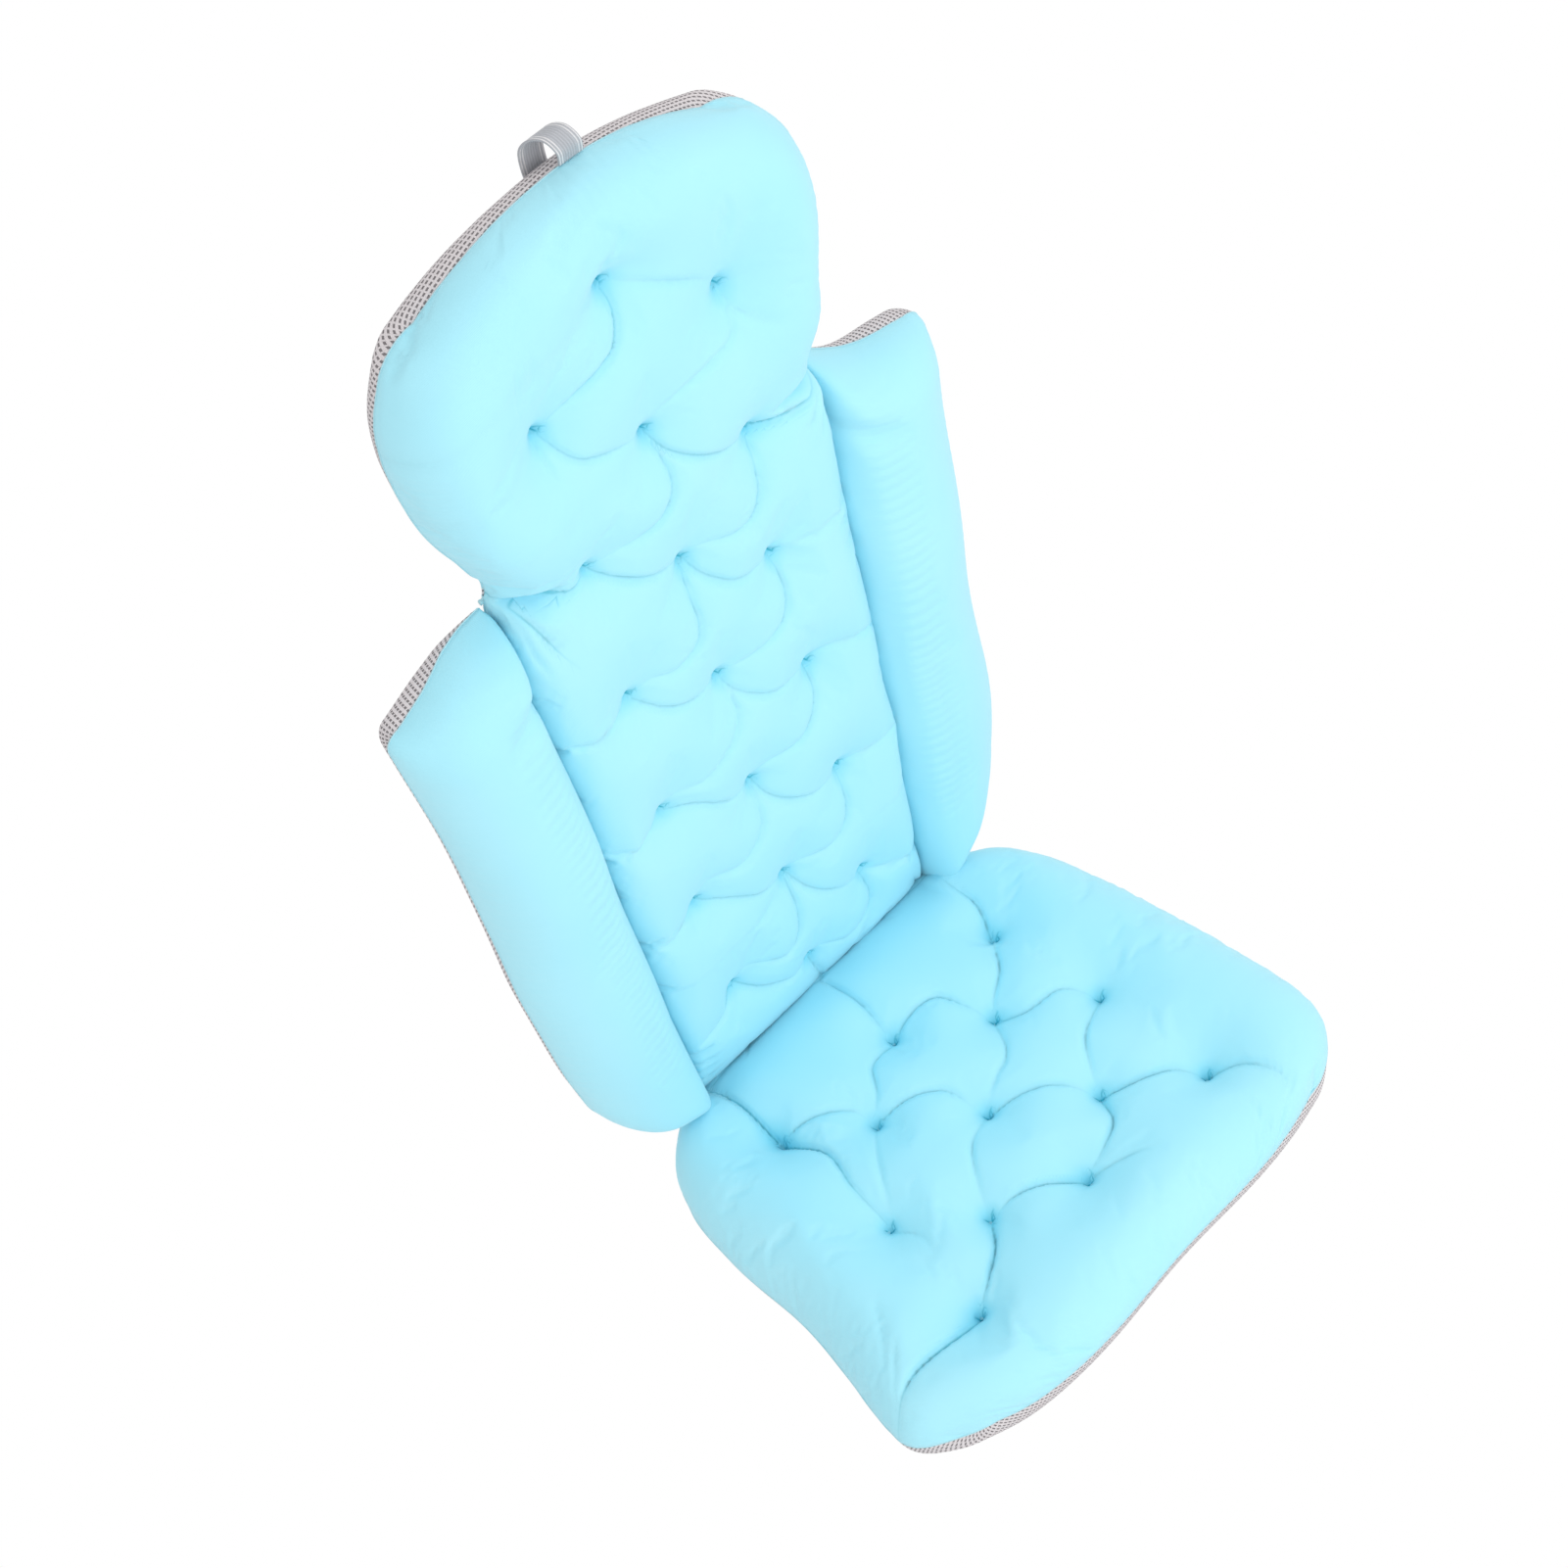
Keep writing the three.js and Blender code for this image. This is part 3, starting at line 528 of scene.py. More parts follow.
def wing_ripples(x, v):
    """The uneven swell of a wing's padding, its notch, and the fine wrinkles along its inner side."""
    notch = 9 * np.exp(-(((v - 556 + 0.3 * x) / 13) ** 2)) * fading(x, 8, 40)
    swell = 2.2 * np.sin(v / 61 + 1.1) + 1.6 * np.sin(v / 29) - notch
    wrinkles = np.sin(v / 1.7 + 2 * np.sin(v / 23) + 3 * np.sin(v / 41)) * smooth(v, 90, 160)
    return swell - 0.8 * np.exp(-(((x - 24) / 14) ** 2)) * wrinkles


def wing_cover_points():
    edge_t = steps_of(WING_ROLL, 20) / WING_SEAM
    ts = np.concatenate([edge_t, np.linspace(edge_t[-1], 1 - edge_t[-1], 201)[1:-1], 1 - edge_t[::-1]])

    def columns(width, t):
        share = min(1, (width - SEAM_EDGE) / 2 / WING_ROLL)
        first = SEAM_EDGE + seam_steps(SEAM_ROLL, 20) * share
        last = (width - steps_of(WING_ROLL, 20) * share)[::-1]
        middle = np.linspace(first[-1], max(last[0], first[-1] + 1), 7)[1:-1]
        return np.concatenate([first, middle, last])

    x, v, s, width = grid_points(wing_width, wing_near, wing_far, ts, columns)
    rim = wing_rim(x, v)
    ends = roll(wing_far(s) - v, WING_ROLL) * roll(v - wing_near(s), WING_ROLL)
    edge = np.minimum(roll(x - SEAM_EDGE, SEAM_ROLL, 4), roll(width - x, WING_ROLL)) * ends
    rise = (WING_CROWN + wing_ripples(x, v) - rim) * edge
    out = bulged(rise, x - SEAM_EDGE, SEAM_ROLL)
    # The wings get no painted shade: their mask is zero
    return np.stack([x - out, v, rim + rise], -1), 0 * x


# The mesh trays under the covers
def tray_grid(width_at, far_at, length, middle_rows, middle_columns):
    """The tray's places in plan, with closer steps round its free edges."""
    first = steps_of(TRAY_LEAD, 5) / length
    tail = 1 - steps_of(MESH_CORNER, 8)[::-1] / length
    ts = np.concatenate([first, np.linspace(first[-1], tail[0], middle_rows)[1:-1], tail])
    return grid_points(
        width_at, straight_edge, far_at, ts, lambda w, t: both_sides(w, MESH_CORNER, 8, middle_columns)
    )


def wing_tray_grid():
    corner = steps_of(MESH_CORNER, 8)

    def columns(width, t):
        inner = SEAM_EDGE + np.linspace(0, 1, 5) ** 2 * 8
        outer = width - corner[::-1]
        return np.concatenate([inner[:-1], np.linspace(inner[-1], outer[0], 12)[:-1], outer])

    ends = corner / WING_SEAM
    ts = np.concatenate([ends, np.linspace(ends[-1], 1 - ends[-1], 90)[1:-1], 1 - ends[::-1]])
    return grid_points(wing_width, wing_near, wing_far, ts, columns)


def tray_heights(x, v, width, far, rim, inward, stitches, fold):
    """One face of a tray: its wall down from the rim, and its floor drawn up a little at each stitch."""
    corner = MESH_CORNER - 0.6 * inward
    edge = roll(width - np.abs(x), corner) * roll(far - v, corner) * roll(fold, 5)
    pulled = np.zeros(x.shape)
    for across, along in stitches:
        pulled = np.maximum(pulled, np.exp(-np.hypot(x - across, v - along) / TRAY_PULL_RUN))
    uneven = TRAY_UNEVEN * waves(x, v, 31, 90) * edge
    return rim * (1 - edge) + edge * (TRAY_PULL * pulled + uneven)


def tray_points(kind):
    """The outer and inner faces of a panel's tray."""
    if kind == "seat":
        x, v, s, width = tray_grid(seat_width, seat_far, SEAT_LENGTH, 70, 44)
        rim, far, stitches = seat_rim(v), seat_far(s), SEAT_STITCHES
    elif kind == "upper":
        x, v, s, width = tray_grid(upper_width, upper_far, UPPER_LENGTH, 150, 30)
        far, stitches = upper_far(s), UPPER_STITCHES
        v = mix(v * (UPPER_LENGTH / far), v, smooth(v, BACK_LENGTH, UPPER_LENGTH - HEAD_BOW))
        rim = upper_rim(x, v)
    else:
        x, v, s, width = wing_tray_grid()
        rim, far, stitches = wing_rim(x, v), wing_far(s), []
    fold = v - SEAM_EDGE
    if kind == "wing":
        fold = np.minimum(x - SEAM_EDGE, (v - wing_near(s)) * 5 / MESH_CORNER)
    outer, inner = (
        np.stack([x, v, tray_heights(x, v, width, far, rim, inward, stitches, fold)], -1)
        for inward in (0, 1)
    )
    return outer, thickened(inner, MESH_THICK)


def thickened(points, thick):
    """The same face moved in along its normals, with its rim kept level."""
    normal = unit(np.cross(np.gradient(points, axis=1), np.gradient(points, axis=0)))
    moved = points + thick * normal
    edge = np.ones(points.shape[:2], bool)
    edge[1:-1, 1:-1] = False
    moved[edge, 2] = points[edge, 2]
    return moved


# Stitches and simulation
def refined(coarse, axis):
    """Values halfway between a row's values, put between them."""
    a = np.moveaxis(coarse, axis, 0)
    padded = np.concatenate([a[:1], a, a[-1:]])
    between = (9 * (padded[1:-2] + padded[2:-1]) - padded[:-3] - padded[3:]) / 16
    out = np.empty((2 * len(a) - 1,) + a.shape[1:])
    out[::2], out[1::2] = a, between
    return np.moveaxis(out, 0, axis)


def cloth_on(thing, group, slack, last_frame):
    cloth = thing.modifiers.new("blown", "CLOTH")
    cloth.point_cache.frame_start = 1
    cloth.point_cache.frame_end = last_frame
    cloth.settings.vertex_group_mass = group
    for key, value in CLOTH.items():
        setattr(cloth.settings, key, value)
    cloth.settings.shrink_min = -slack
    cloth.settings.effector_weights.gravity = 0


def simulated(jobs, last_frame):
    """Blows the covers up, each held at its seam and stitches, and gives how far each point moved."""
    scene = bpy.context.scene
    things = []
    for name, points, tufts, slack in jobs:
        coarse = points[::2, ::2]
        rows, columns = coarse.shape[:2]
        flat = coarse.reshape(-1, 3)
        thing = mesh_object(name + "_blown", flat * MM, grid_faces(rows, columns))
        held = set(rim_indices(rows, columns).tolist())
        for x, v in tufts:
            held.add(int(np.argmin((flat[:, 0] - x) ** 2 + (flat[:, 1] - v) ** 2)))
        thing.vertex_groups.new(name="held").add(sorted(held), 1.0, "REPLACE")
        cloth_on(thing, "held", slack, last_frame)
        things.append((thing, coarse))
    for step in range(1, last_frame + 1):
        scene.frame_set(step)
    moved = []
    graph = bpy.context.evaluated_depsgraph_get()
    for thing, coarse in things:
        blown = thing.evaluated_get(graph).data
        places = np.empty(3 * len(blown.vertices))
        blown.vertices.foreach_get("co", places)
        moved.append(places.reshape(coarse.shape) / MM - coarse)
    for thing, _ in things:
        data = thing.data
        bpy.data.objects.remove(thing)
        bpy.data.meshes.remove(data)
    scene.frame_set(1)
    return moved


def capped(moved, limit):
    length = np.linalg.norm(moved, axis=-1, keepdims=True)
    return moved * limit * np.tanh(length / limit) / np.maximum(length, 1e-9)


def curved(path, steps=5):
    """A smooth line through a few places."""
    p = np.asarray(path, float)
    p = np.concatenate([2 * p[:1] - p[1:2], p, 2 * p[-1:] - p[-2:-1]])
    line = []
    for a, b, c, d in zip(p[:-3], p[1:-2], p[2:-1], p[3:]):
        for t in np.arange(steps) / steps:
            bend = (2 * a - 5 * b + 4 * c - d) * t**2 + (3 * b - a - 3 * c + d) * t**3
            line.append(0.5 * (2 * b + (c - a) * t + bend))
    return np.array([*line, p[-2]])


def beside(line, x, v):
    """The signed distance of places from a line, and how far along it they are, from 0 to 1."""
    lengths = np.linalg.norm(np.diff(line, axis=0), axis=1)
    starts = np.concatenate([[0], np.cumsum(lengths)])
    nearest, place = np.full(x.shape, 1e9), np.zeros(x.shape)
    for (ax, av), (bx, bv), length, start in zip(line[:-1], line[1:], lengths, starts):
        t = clamp(((x - ax) * (bx - ax) + (v - av) * (bv - av)) / length**2)
        dx, dv = x - ax - t * (bx - ax), v - av - t * (bv - av)
        away = np.hypot(dx, dv) * np.where((bx - ax) * dv - (bv - av) * dx < 0, -1, 1)
        closer = np.abs(away) < np.abs(nearest)
        nearest = np.where(closer, away, nearest)
        place = np.where(closer, start + t * length, place)
    return nearest, clamp(place / starts[-1])


def creased(points, creases, share, sharp=None):
    """Draws creases into a surface: valleys that die out at both ends, or only their sharp bottoms."""
    x, v = points[..., 0].copy(), points[..., 1].copy()
    drop = np.zeros(x.shape)
    for path, depth, width in creases:
        away, along = beside(curved(path), x, v)
        away = np.abs(away)
        taper = smooth(along, -0.25, 0.25) * (1 - 0.85 * smooth(along, 0.45, 1.0))
        if sharp is None:
            valley = 0.45 * np.exp(-away / (0.6 * width)) + 0.55 * np.exp(-((away / (3.0 * width)) ** 2))
        else:
            valley = np.exp(-away / sharp)
        drop = np.maximum(drop, depth * taper * valley)
    points[..., 2] -= share * drop * np.minimum(1, points[..., 2] / TUFT_HEIGHT)
    return drop


def tick_lines(stitches, way):
    """The short sharp fold through each stitch, and a shorter one across it, each drawn as a painted shade
    line with a bump.
    """
    way = unit(np.array(way, float))
    cross = np.array([-way[1], way[0]])
    lines = []
    for place in stitches:
        at = np.array(place, float)
        lines.append(([at - 5.5 * way, at, at + 6 * way], 1.1, True))
        lines.append(([at, at + 3 * cross + 1.5 * way, at + 6 * cross + 5 * way], 0.6, True))
    return lines


def line_values(points, creases, ticks, edges):
    """For the fabric's painted shade lines and their bump: the signed distance in millimetres to the nearest
    crease, and its strength.
    """
    x, v = points[..., 0], points[..., 1]
    signed, strength = edges
    # Each crease deeper than 3 mm gets a painted shade line, darker the deeper it is
    drawn = [(path, min(CREASE_SHADE_MOST, (depth - 2.9) / 5.5), False) for path, depth, _ in creases if depth > 3]
    for path, amount, even in drawn + ticks:
        line = curved(path)
        low, high = line.min(axis=0) - 8, line.max(axis=0) + 8
        box = (x > low[0]) & (x < high[0]) & (v > low[1]) & (v < high[1])
        away, along = beside(line, x[box], v[box])
        if even:
            taper = smooth(along, 0, 0.3) * (1 - smooth(along, 0.7, 1.0))
        else:
            taper = smooth(along, -0.2, 0.2) * (1 - 0.8 * smooth(along, 0.35, 1.0))
        value = amount * taper * (1 - smooth(np.abs(away), 2.0, 5.0))
        better = value > strength[box] * (1 - smooth(np.abs(signed[box]), 1, 4))
        signed[box] = np.where(better, away, signed[box])
        strength[box] = np.where(better, value, strength[box])
    return np.clip(signed, -LINE_REACH, LINE_REACH), strength


def seam_distance(distance, amount):
    """Values for the thin painted shade line where a cover meets its neighbour."""
    return np.clip(distance, -LINE_REACH, LINE_REACH), amount * (1 - smooth(np.abs(distance), 2.0, 5.0))


def puckered(points, size, length, seed):
    """Small gathers along the free seam, strongest a few millimetres in from it."""
    rows, columns = points.shape[:2]
    flat = points.reshape(-1, 3)
    ring = flat[rim_indices(rows, columns)]
    rng = np.random.default_rng(seed)
    knots = np.cumsum(rng.uniform(0.6, 1.5, PUCKER_KNOTS) * length / 2)
    heights = rng.uniform(0.3, 1.0, PUCKER_KNOTS) * np.where(np.arange(PUCKER_KNOTS) % 2, 1, -1)
    from_rim = np.interp(run_along(ring), knots, heights)
    row, column = np.indices((rows, columns))
    nearest_edge = np.minimum.reduce([row, rows - 1 - row, column, columns - 1 - column]).ravel()
    strength = np.interp(nearest_edge, [0, 1, 3, 9, 16], [0, 0.6, 1, 0.35, 0])
    ids = np.flatnonzero(nearest_edge < 16)
    for part in np.array_split(ids, len(ids) // 4000 + 1):
        gap = (flat[part, None, 0] - ring[None, :, 0]) ** 2 + (flat[part, None, 1] - ring[None, :, 1]) ** 2
        near = np.argmin(gap, axis=1)
        lift = from_rim[near] * strength[part] * size
        flat[part, 2] += lift * smooth(ring[near, 2], SEAM_RIM + 2, FREE_RIM - 2)


# Placing: each panel's own frame in the world
def seat_frame():
    return Matrix(((-1, 0, 0, 0), (0, -1, 0, HINGE_Y), (0, 0, 1, FLOOR_Z), (0, 0, 0, 1)))


def back_frame():
    turn = math.radians(180 - SEAT_TO_BACK)
    axis = Matrix.Translation((0, HINGE_Y, FLOOR_Z + AXIS_HEIGHT))
    return axis @ Matrix.Rotation(turn, 4, "X") @ Matrix.Translation((0, 0, -AXIS_HEIGHT))


def head_frame():
    return back_frame() @ Matrix.Translation((0, BACK_LENGTH, 0))


def wing_frame(side):
    at = Matrix.Translation((side * HINGE_HALF, 0, 0))
    return back_frame() @ at @ Matrix.Rotation(-side * SEAM_LEAN, 4, "Z") @ Matrix.Diagonal((side, 1, 1, 1))


def to_world(points, matrix):
    m = np.array(matrix)
    return (points.reshape(-1, 3) @ m[:3, :3].T + m[:3, 3]) * MM


# Meshes
def mesh_object(name, points, faces, look=None, uv=None, values=None):
    data = bpy.data.meshes.new(name)
    data.from_pydata([tuple(p) for p in points], [], faces)
    if uv is not None:
        layer = data.uv_layers.new(name="UVMap")
        corners = np.empty(len(data.loops), int)
        data.loops.foreach_get("vertex_index", corners)
        layer.data.foreach_set("uv", np.asarray(uv, np.float32)[corners].ravel())
    for key, value in (values or {}).items():
        attribute = data.attributes.new(key, "FLOAT", "POINT")
        attribute.data.foreach_set("value", np.asarray(value, np.float32).ravel())
    data.polygons.foreach_set("use_smooth", [True] * len(data.polygons))
    data.update()
    if look:
        data.materials.append(look)
    thing = bpy.data.objects.new(name, data)
    bpy.context.scene.collection.objects.link(thing)
    return thing


def grid_faces(rows, columns, mirrored=False):
    at = np.arange(rows * columns).reshape(rows, columns)
    quads = np.stack([at[:-1, :-1], at[:-1, 1:], at[1:, 1:], at[1:, :-1]], -1).reshape(-1, 4)
    return (quads[:, ::-1] if mirrored else quads).tolist()


def rim_indices(rows, columns):
    at = np.arange(rows * columns).reshape(rows, columns)
    return np.concatenate([at[0, :], at[1:-1, -1], at[-1, ::-1], at[-2:0:-1, 0]])


def arc_uv(points):
    """Lengths along the fabric, in metres, as its UVs."""
    middle = points.shape[1] // 2
    across, along = np.zeros(points.shape[:2]), np.zeros(points.shape[:2])
    across[:, 1:] = np.cumsum(np.linalg.norm(np.diff(points, axis=1), axis=2), axis=1)
    across -= across[:, [middle]]
    along += run_along(points[:, middle])[:, None]
    return np.stack([across, along], -1).reshape(-1, 2) * MM


def inward_ways(ring):
    """At each place of a closed ring, the level direction that leads into it."""
    ahead = np.roll(ring, -4, 0)[:, :2] - np.roll(ring, 4, 0)[:, :2]
    x, v = ring[:, 0], ring[:, 1]
    turning = np.sum(x * np.roll(v, -1) - np.roll(x, -1) * v)
    ways = unit(np.stack([-ahead[:, 1], ahead[:, 0]], -1)) * np.sign(turning)
    return unit(ways + 0.8 * unit(ring[:, :2].mean(axis=0) - ring[:, :2]))


def closed_cover(name, points, looks, matrix, mirrored=False):
    """A padded cover: the quilted face, and a plain inner side that closes it just over the mesh."""
    rows, columns = points.shape[:2]
    top = points.reshape(-1, 3)
    rim = rim_indices(rows, columns)
    ring = top[rim]
    inner_way = inward_ways(ring)
    inner = []
    for inward, up in ((3.4, 0.55), (9.0, 0.12), (16.0, 0.0)):
        loop = ring.copy()
        loop[:, :2] += inward * inner_way
        loop[:, 2] = COVER_FLOOR + (ring[:, 2] - COVER_FLOOR) * up
        inner.append(loop)
    middle = np.array([[*ring.mean(axis=0)[:2], COVER_FLOOR]])
    everything = np.concatenate([top, *inner, middle])
    n, base = len(rim), len(top)
    loops = [rim] + [base + n * k + np.arange(n) for k in range(len(inner))]
    more = [
        [upper[k], upper[(k + 1) % n], lower[(k + 1) % n], lower[k]]
        for upper, lower in zip(loops[:-1], loops[1:])
        for k in range(n)
    ]
    more += [[loops[-1][k], loops[-1][(k + 1) % n], base + n * len(inner)] for k in range(n)]
    faces = grid_faces(rows, columns, mirrored)
    faces += [[int(q) for q in (face if mirrored else face[::-1])] for face in more]
    uv = np.zeros((len(everything), 2))
    uv[:base] = arc_uv(points)
    # Attributes for the fabric's painted shade: dip darkens the dips, crease and fold place the thin painted
    # shade lines
    values = {key: np.zeros(len(everything)) for key in ("dip", "crease", "fold")}
    for value, look in zip(values.values(), looks):
        value[:base] = np.asarray(look).ravel()
    return mesh_object(name, to_world(everything, matrix), faces, FABRIC, uv, values)


def tray(name, kind, matrix, mirrored, turn, bend):
    outer, inner = (bent(points, bend) for points in tray_points(kind))
    rows, columns = outer.shape[:2]
    count = rows * columns
    rim = rim_indices(rows, columns).tolist()
    faces = grid_faces(rows, columns, not mirrored)
    faces += [[i + count for i in face] for face in grid_faces(rows, columns, mirrored)]
    for a, b in zip(rim, rim[1:] + rim[:1]):
        quad = [a, b, b + count, a + count]
        faces.append(quad[::-1] if mirrored else quad)
    angle = math.radians(turn)
    turned = np.array([[math.cos(angle), math.sin(angle)], [-math.sin(angle), math.cos(angle)]])
    uv = arc_uv(outer) @ turned
    everything = np.concatenate([outer.reshape(-1, 3), inner.reshape(-1, 3)])
    uvs = np.concatenate([uv, uv])
    return mesh_object(name, to_world(everything, matrix), faces, NET, uvs)


def ring_faces(rings, sides, closed=False, flipped=False):
    """The faces between rings of points that follow each other."""
    faces = []
    for k in range(rings if closed else rings - 1):
        a, b = k * sides, ((k + 1) % rings) * sides
        for j in range(sides):
            i = (j + 1) % sides
            faces.append([a + j, b + j, b + i, a + i] if flipped else [a + j, a + i, b + i, b + j])
    return faces


def end_faces(rings, sides, flipped=False):
    ends = [list(range(sides))[::-1], [(rings - 1) * sides + j for j in range(sides)]]
    return [end[::-1] for end in ends] if flipped else ends


def turns(sides):
    return np.arange(sides) * 2 * math.pi / sides


def rings_about(path, ahead, toward, angle, size):
    """Rings of points about a path, flat across the way ahead."""
    first = unit(np.cross(ahead, toward))
    second = np.cross(ahead, first)
    ring = first[:, None] * np.cos(angle)[None, :, None] + second[:, None] * np.sin(angle)[None, :, None]
    return (path[:, None] + size * ring).reshape(-1, 3)


def tube(name, path, radius, sides, ribs, pitch, closed=False):
    """A rolled seam along a path in metres; ribs are the turns of its overlock thread."""
    lengths = run_along(path)
    ahead = unit(np.roll(path, -1, 0) - np.roll(path, 1, 0) if closed else np.gradient(path, axis=0))
    angle = turns(sides)
    size = radius * (1 + ribs * np.cos(2 * math.pi * lengths[:, None] / (pitch * MM) + angle[None, :]))
    points = rings_about(path, ahead, TUBE_LEAN, angle, size[..., None])
    n = len(path)
    faces = ring_faces(n, sides, closed)
    if not closed:
        faces += end_faces(n, sides)
    uv = np.stack([np.tile(angle / (2 * math.pi), n), np.repeat(lengths, sides)], -1)
    return mesh_object(name, points, faces, SEAM, uv)


def stitch_form(start, end, radius, lift):
    """One stitch of thread: a small bent capsule from start to end, raised in the middle."""
    start, end, lift = (np.asarray(c, float) for c in (start, end, (0, 0, lift)))
    t = np.linspace(0, 1, STITCH_STEPS)[:, None]
    path = start + (end - start) * t + lift * np.sin(math.pi * t)
    size = radius * np.sqrt(np.maximum(1 - (2 * t - 1) ** 6, 0.02))
    return rings_about(path, unit(np.gradient(path, axis=0)), lift, turns(STITCH_SIDES), size[:, None])


def stitches(name, ends, matrix, look, slot, body):
    """One object of many stitches, each given by its two ends, its radius and its lift."""
    one = ring_faces(STITCH_STEPS, STITCH_SIDES) + end_faces(STITCH_STEPS, STITCH_SIDES)
    points = [to_world(stitch_form(*stitch), matrix) for stitch in ends]
    size = STITCH_STEPS * STITCH_SIDES
    faces = [[i + k * size for i in face] for k in range(len(points)) for face in one]
    rides_on(mesh_object(name, np.concatenate(points), faces, look), body)


def turned_form(profile, sides=48):
    """A profile of radius and height, turned about the panel's normal; it closes on the axis or on itself."""
    on_axis = profile[0][0] == 0
    ring = np.asarray(profile[1:-1] if on_axis else profile, float)
    angle = turns(sides)
    x = ring[:, None, 0] * np.cos(angle)[None, :]
    y = ring[:, None, 0] * np.sin(angle)[None, :]
    points = np.stack([x, y, np.repeat(ring[:, 1:2], sides, 1)], -1).reshape(-1, 3)
    n = len(ring)
    faces = ring_faces(n, sides, not on_axis, True)
    if on_axis:
        first, last = len(points), len(points) + 1
        points = np.concatenate([points, [[0, 0, profile[0][1]], [0, 0, profile[-1][1]]]])
        for j in range(sides):
            i = (j + 1) % sides
            faces.append([first, j, i])
            faces.append([last, (n - 1) * sides + i, (n - 1) * sides + j])
    return points, faces


# Materials
def material(name, values):
    """A material, with the numbers that are the same all over it set on its shader."""
    m = bpy.data.materials.new(name)
    m.use_nodes = True
    shader = m.node_tree.nodes["Principled BSDF"]
    for key, value in values.items():
        shader.inputs[key].default_value = value
    return m, m.node_tree, shader


def node(tree, kind, **settings):
    n = tree.nodes.new(kind)
    for key, value in settings.items():
        if key in n.inputs:
            n.inputs[key].default_value = value
        else:
            setattr(n, key, value)
    return n


def put(tree, value, socket):
    """Links a node's output to a socket, or sets a plain value on it."""
    if isinstance(value, bpy.types.NodeSocket):
        tree.links.new(value, socket)
    else:
        socket.default_value = value


def calculated(tree, operation, a, b=0.0):
    sum_node = node(tree, "ShaderNodeMath", operation=operation)
    put(tree, a, sum_node.inputs[0])
    put(tree, b, sum_node.inputs[1])
    return sum_node.outputs[0]


def coloured(tree, factor, a, b, kind="MIX"):
    mixer = node(tree, "ShaderNodeMix", data_type="RGBA", blend_type=kind)
    for value, socket in ((factor, mixer.inputs["Factor"]), (a, mixer.inputs[6]), (b, mixer.inputs[7])):
        put(tree, value, socket)
    return mixer.outputs[2]


def ramped(tree, value, first, last, start=0.0, end=1.0):
    """A colour between two, by a value."""
    ramp = node(tree, "ShaderNodeValToRGB")
    for element, colour, place in zip(ramp.color_ramp.elements, (first, last), (start, end)):
        element.color = (*colour, 1)
        element.position = place
    tree.links.new(value, ramp.inputs["Fac"])
    return ramp.outputs["Color"]


def ranged(tree, value, kind="LINEAR", **limits):
    shape = node(tree, "ShaderNodeMapRange", interpolation_type=kind)
    for key, limit in limits.items():
        shape.inputs[key.replace("_", " ").title()].default_value = limit
    tree.links.new(value, shape.inputs["Value"])
    return shape.outputs["Result"]


def bumped(tree, shader, height, strength, distance, under=None):
    bump = node(tree, "ShaderNodeBump", Strength=strength, Distance=distance)
    tree.links.new(height, bump.inputs["Height"])
    if under is not None:
        tree.links.new(under, bump.inputs["Normal"])
    tree.links.new(bump.outputs["Normal"], shader.inputs["Normal"])
    return bump.outputs["Normal"]


def noise(tree, scale, detail, place=None):
    grain = node(tree, "ShaderNodeTexNoise", Scale=scale, Detail=detail)
    if place is not None:
        tree.links.new(place, grain.inputs["Vector"])
    return grain.outputs["Fac"]


def in_object(tree):
    return node(tree, "ShaderNodeTexCoord").outputs["Object"]


def along_cloth(tree):
    return node(tree, "ShaderNodeUVMap", uv_map="UVMap").outputs["UV"]


def fabric_material():
    """Smooth stretch knit: pale blue, with painted shade in the tufts and crease valleys, and a thin teal
    line of painted shade in each crease.
    """
    looks = {"Roughness": 0.62, "Specular IOR Level": 0.3, "Sheen Weight": 0.25, "Sheen Roughness": 0.4}
    m, tree, shader = material("face_fabric_look", looks)
    place = in_object(tree)
    dip, away, strength = (
        node(tree, "ShaderNodeAttribute", attribute_name=key).outputs["Fac"]
        for key in ("dip", "crease", "fold")
    )
    blue = ramped(tree, noise(tree, 14.0, 3.0, place), (0.405, 0.845, 0.975), (0.450, 0.865, 0.985))
    # Painted shade: the colour is multiplied darker and more teal where the dip mask is high
    shade = ramped(tree, dip, (1, 1, 1), (0.58, 0.89, 0.94), 0.45)
    tint = coloured(tree, 1.0, blue, shade, "MULTIPLY")
    squared = calculated(tree, "MULTIPLY", away, away)

    def line(spread):
        sharp = calculated(tree, "EXPONENT", calculated(tree, "MULTIPLY", squared, -spread / CREASE_WIDTH**2))
        return calculated(tree, "MULTIPLY", calculated(tree, "MULTIPLY", sharp, strength), 0.9)

    # Painted shade: a thin dark teal line multiplied into the colour along creases, seams and stitch folds
    crease_shaded = coloured(tree, calculated(tree, "MINIMUM", line(1), 1.0), tint, CREASE_SHADE_COLOUR, "MULTIPLY")
    tree.links.new(crease_shaded, shader.inputs["Base Color"])
    knit = node(tree, "ShaderNodeTexWave", Scale=420.0, Distortion=1.2, Detail=1.0)
    tree.links.new(along_cloth(tree), knit.inputs["Vector"])
    grain = calculated(tree, "ADD", knit.outputs["Fac"], noise(tree, 1500.0, 2.0, place))
    weave = bumped(tree, shader, grain, 0.25, 0.0003)
    bumped(tree, shader, calculated(tree, "SUBTRACT", 1.0, line(0.1)), 0.7, 0.0012, weave)
    return m


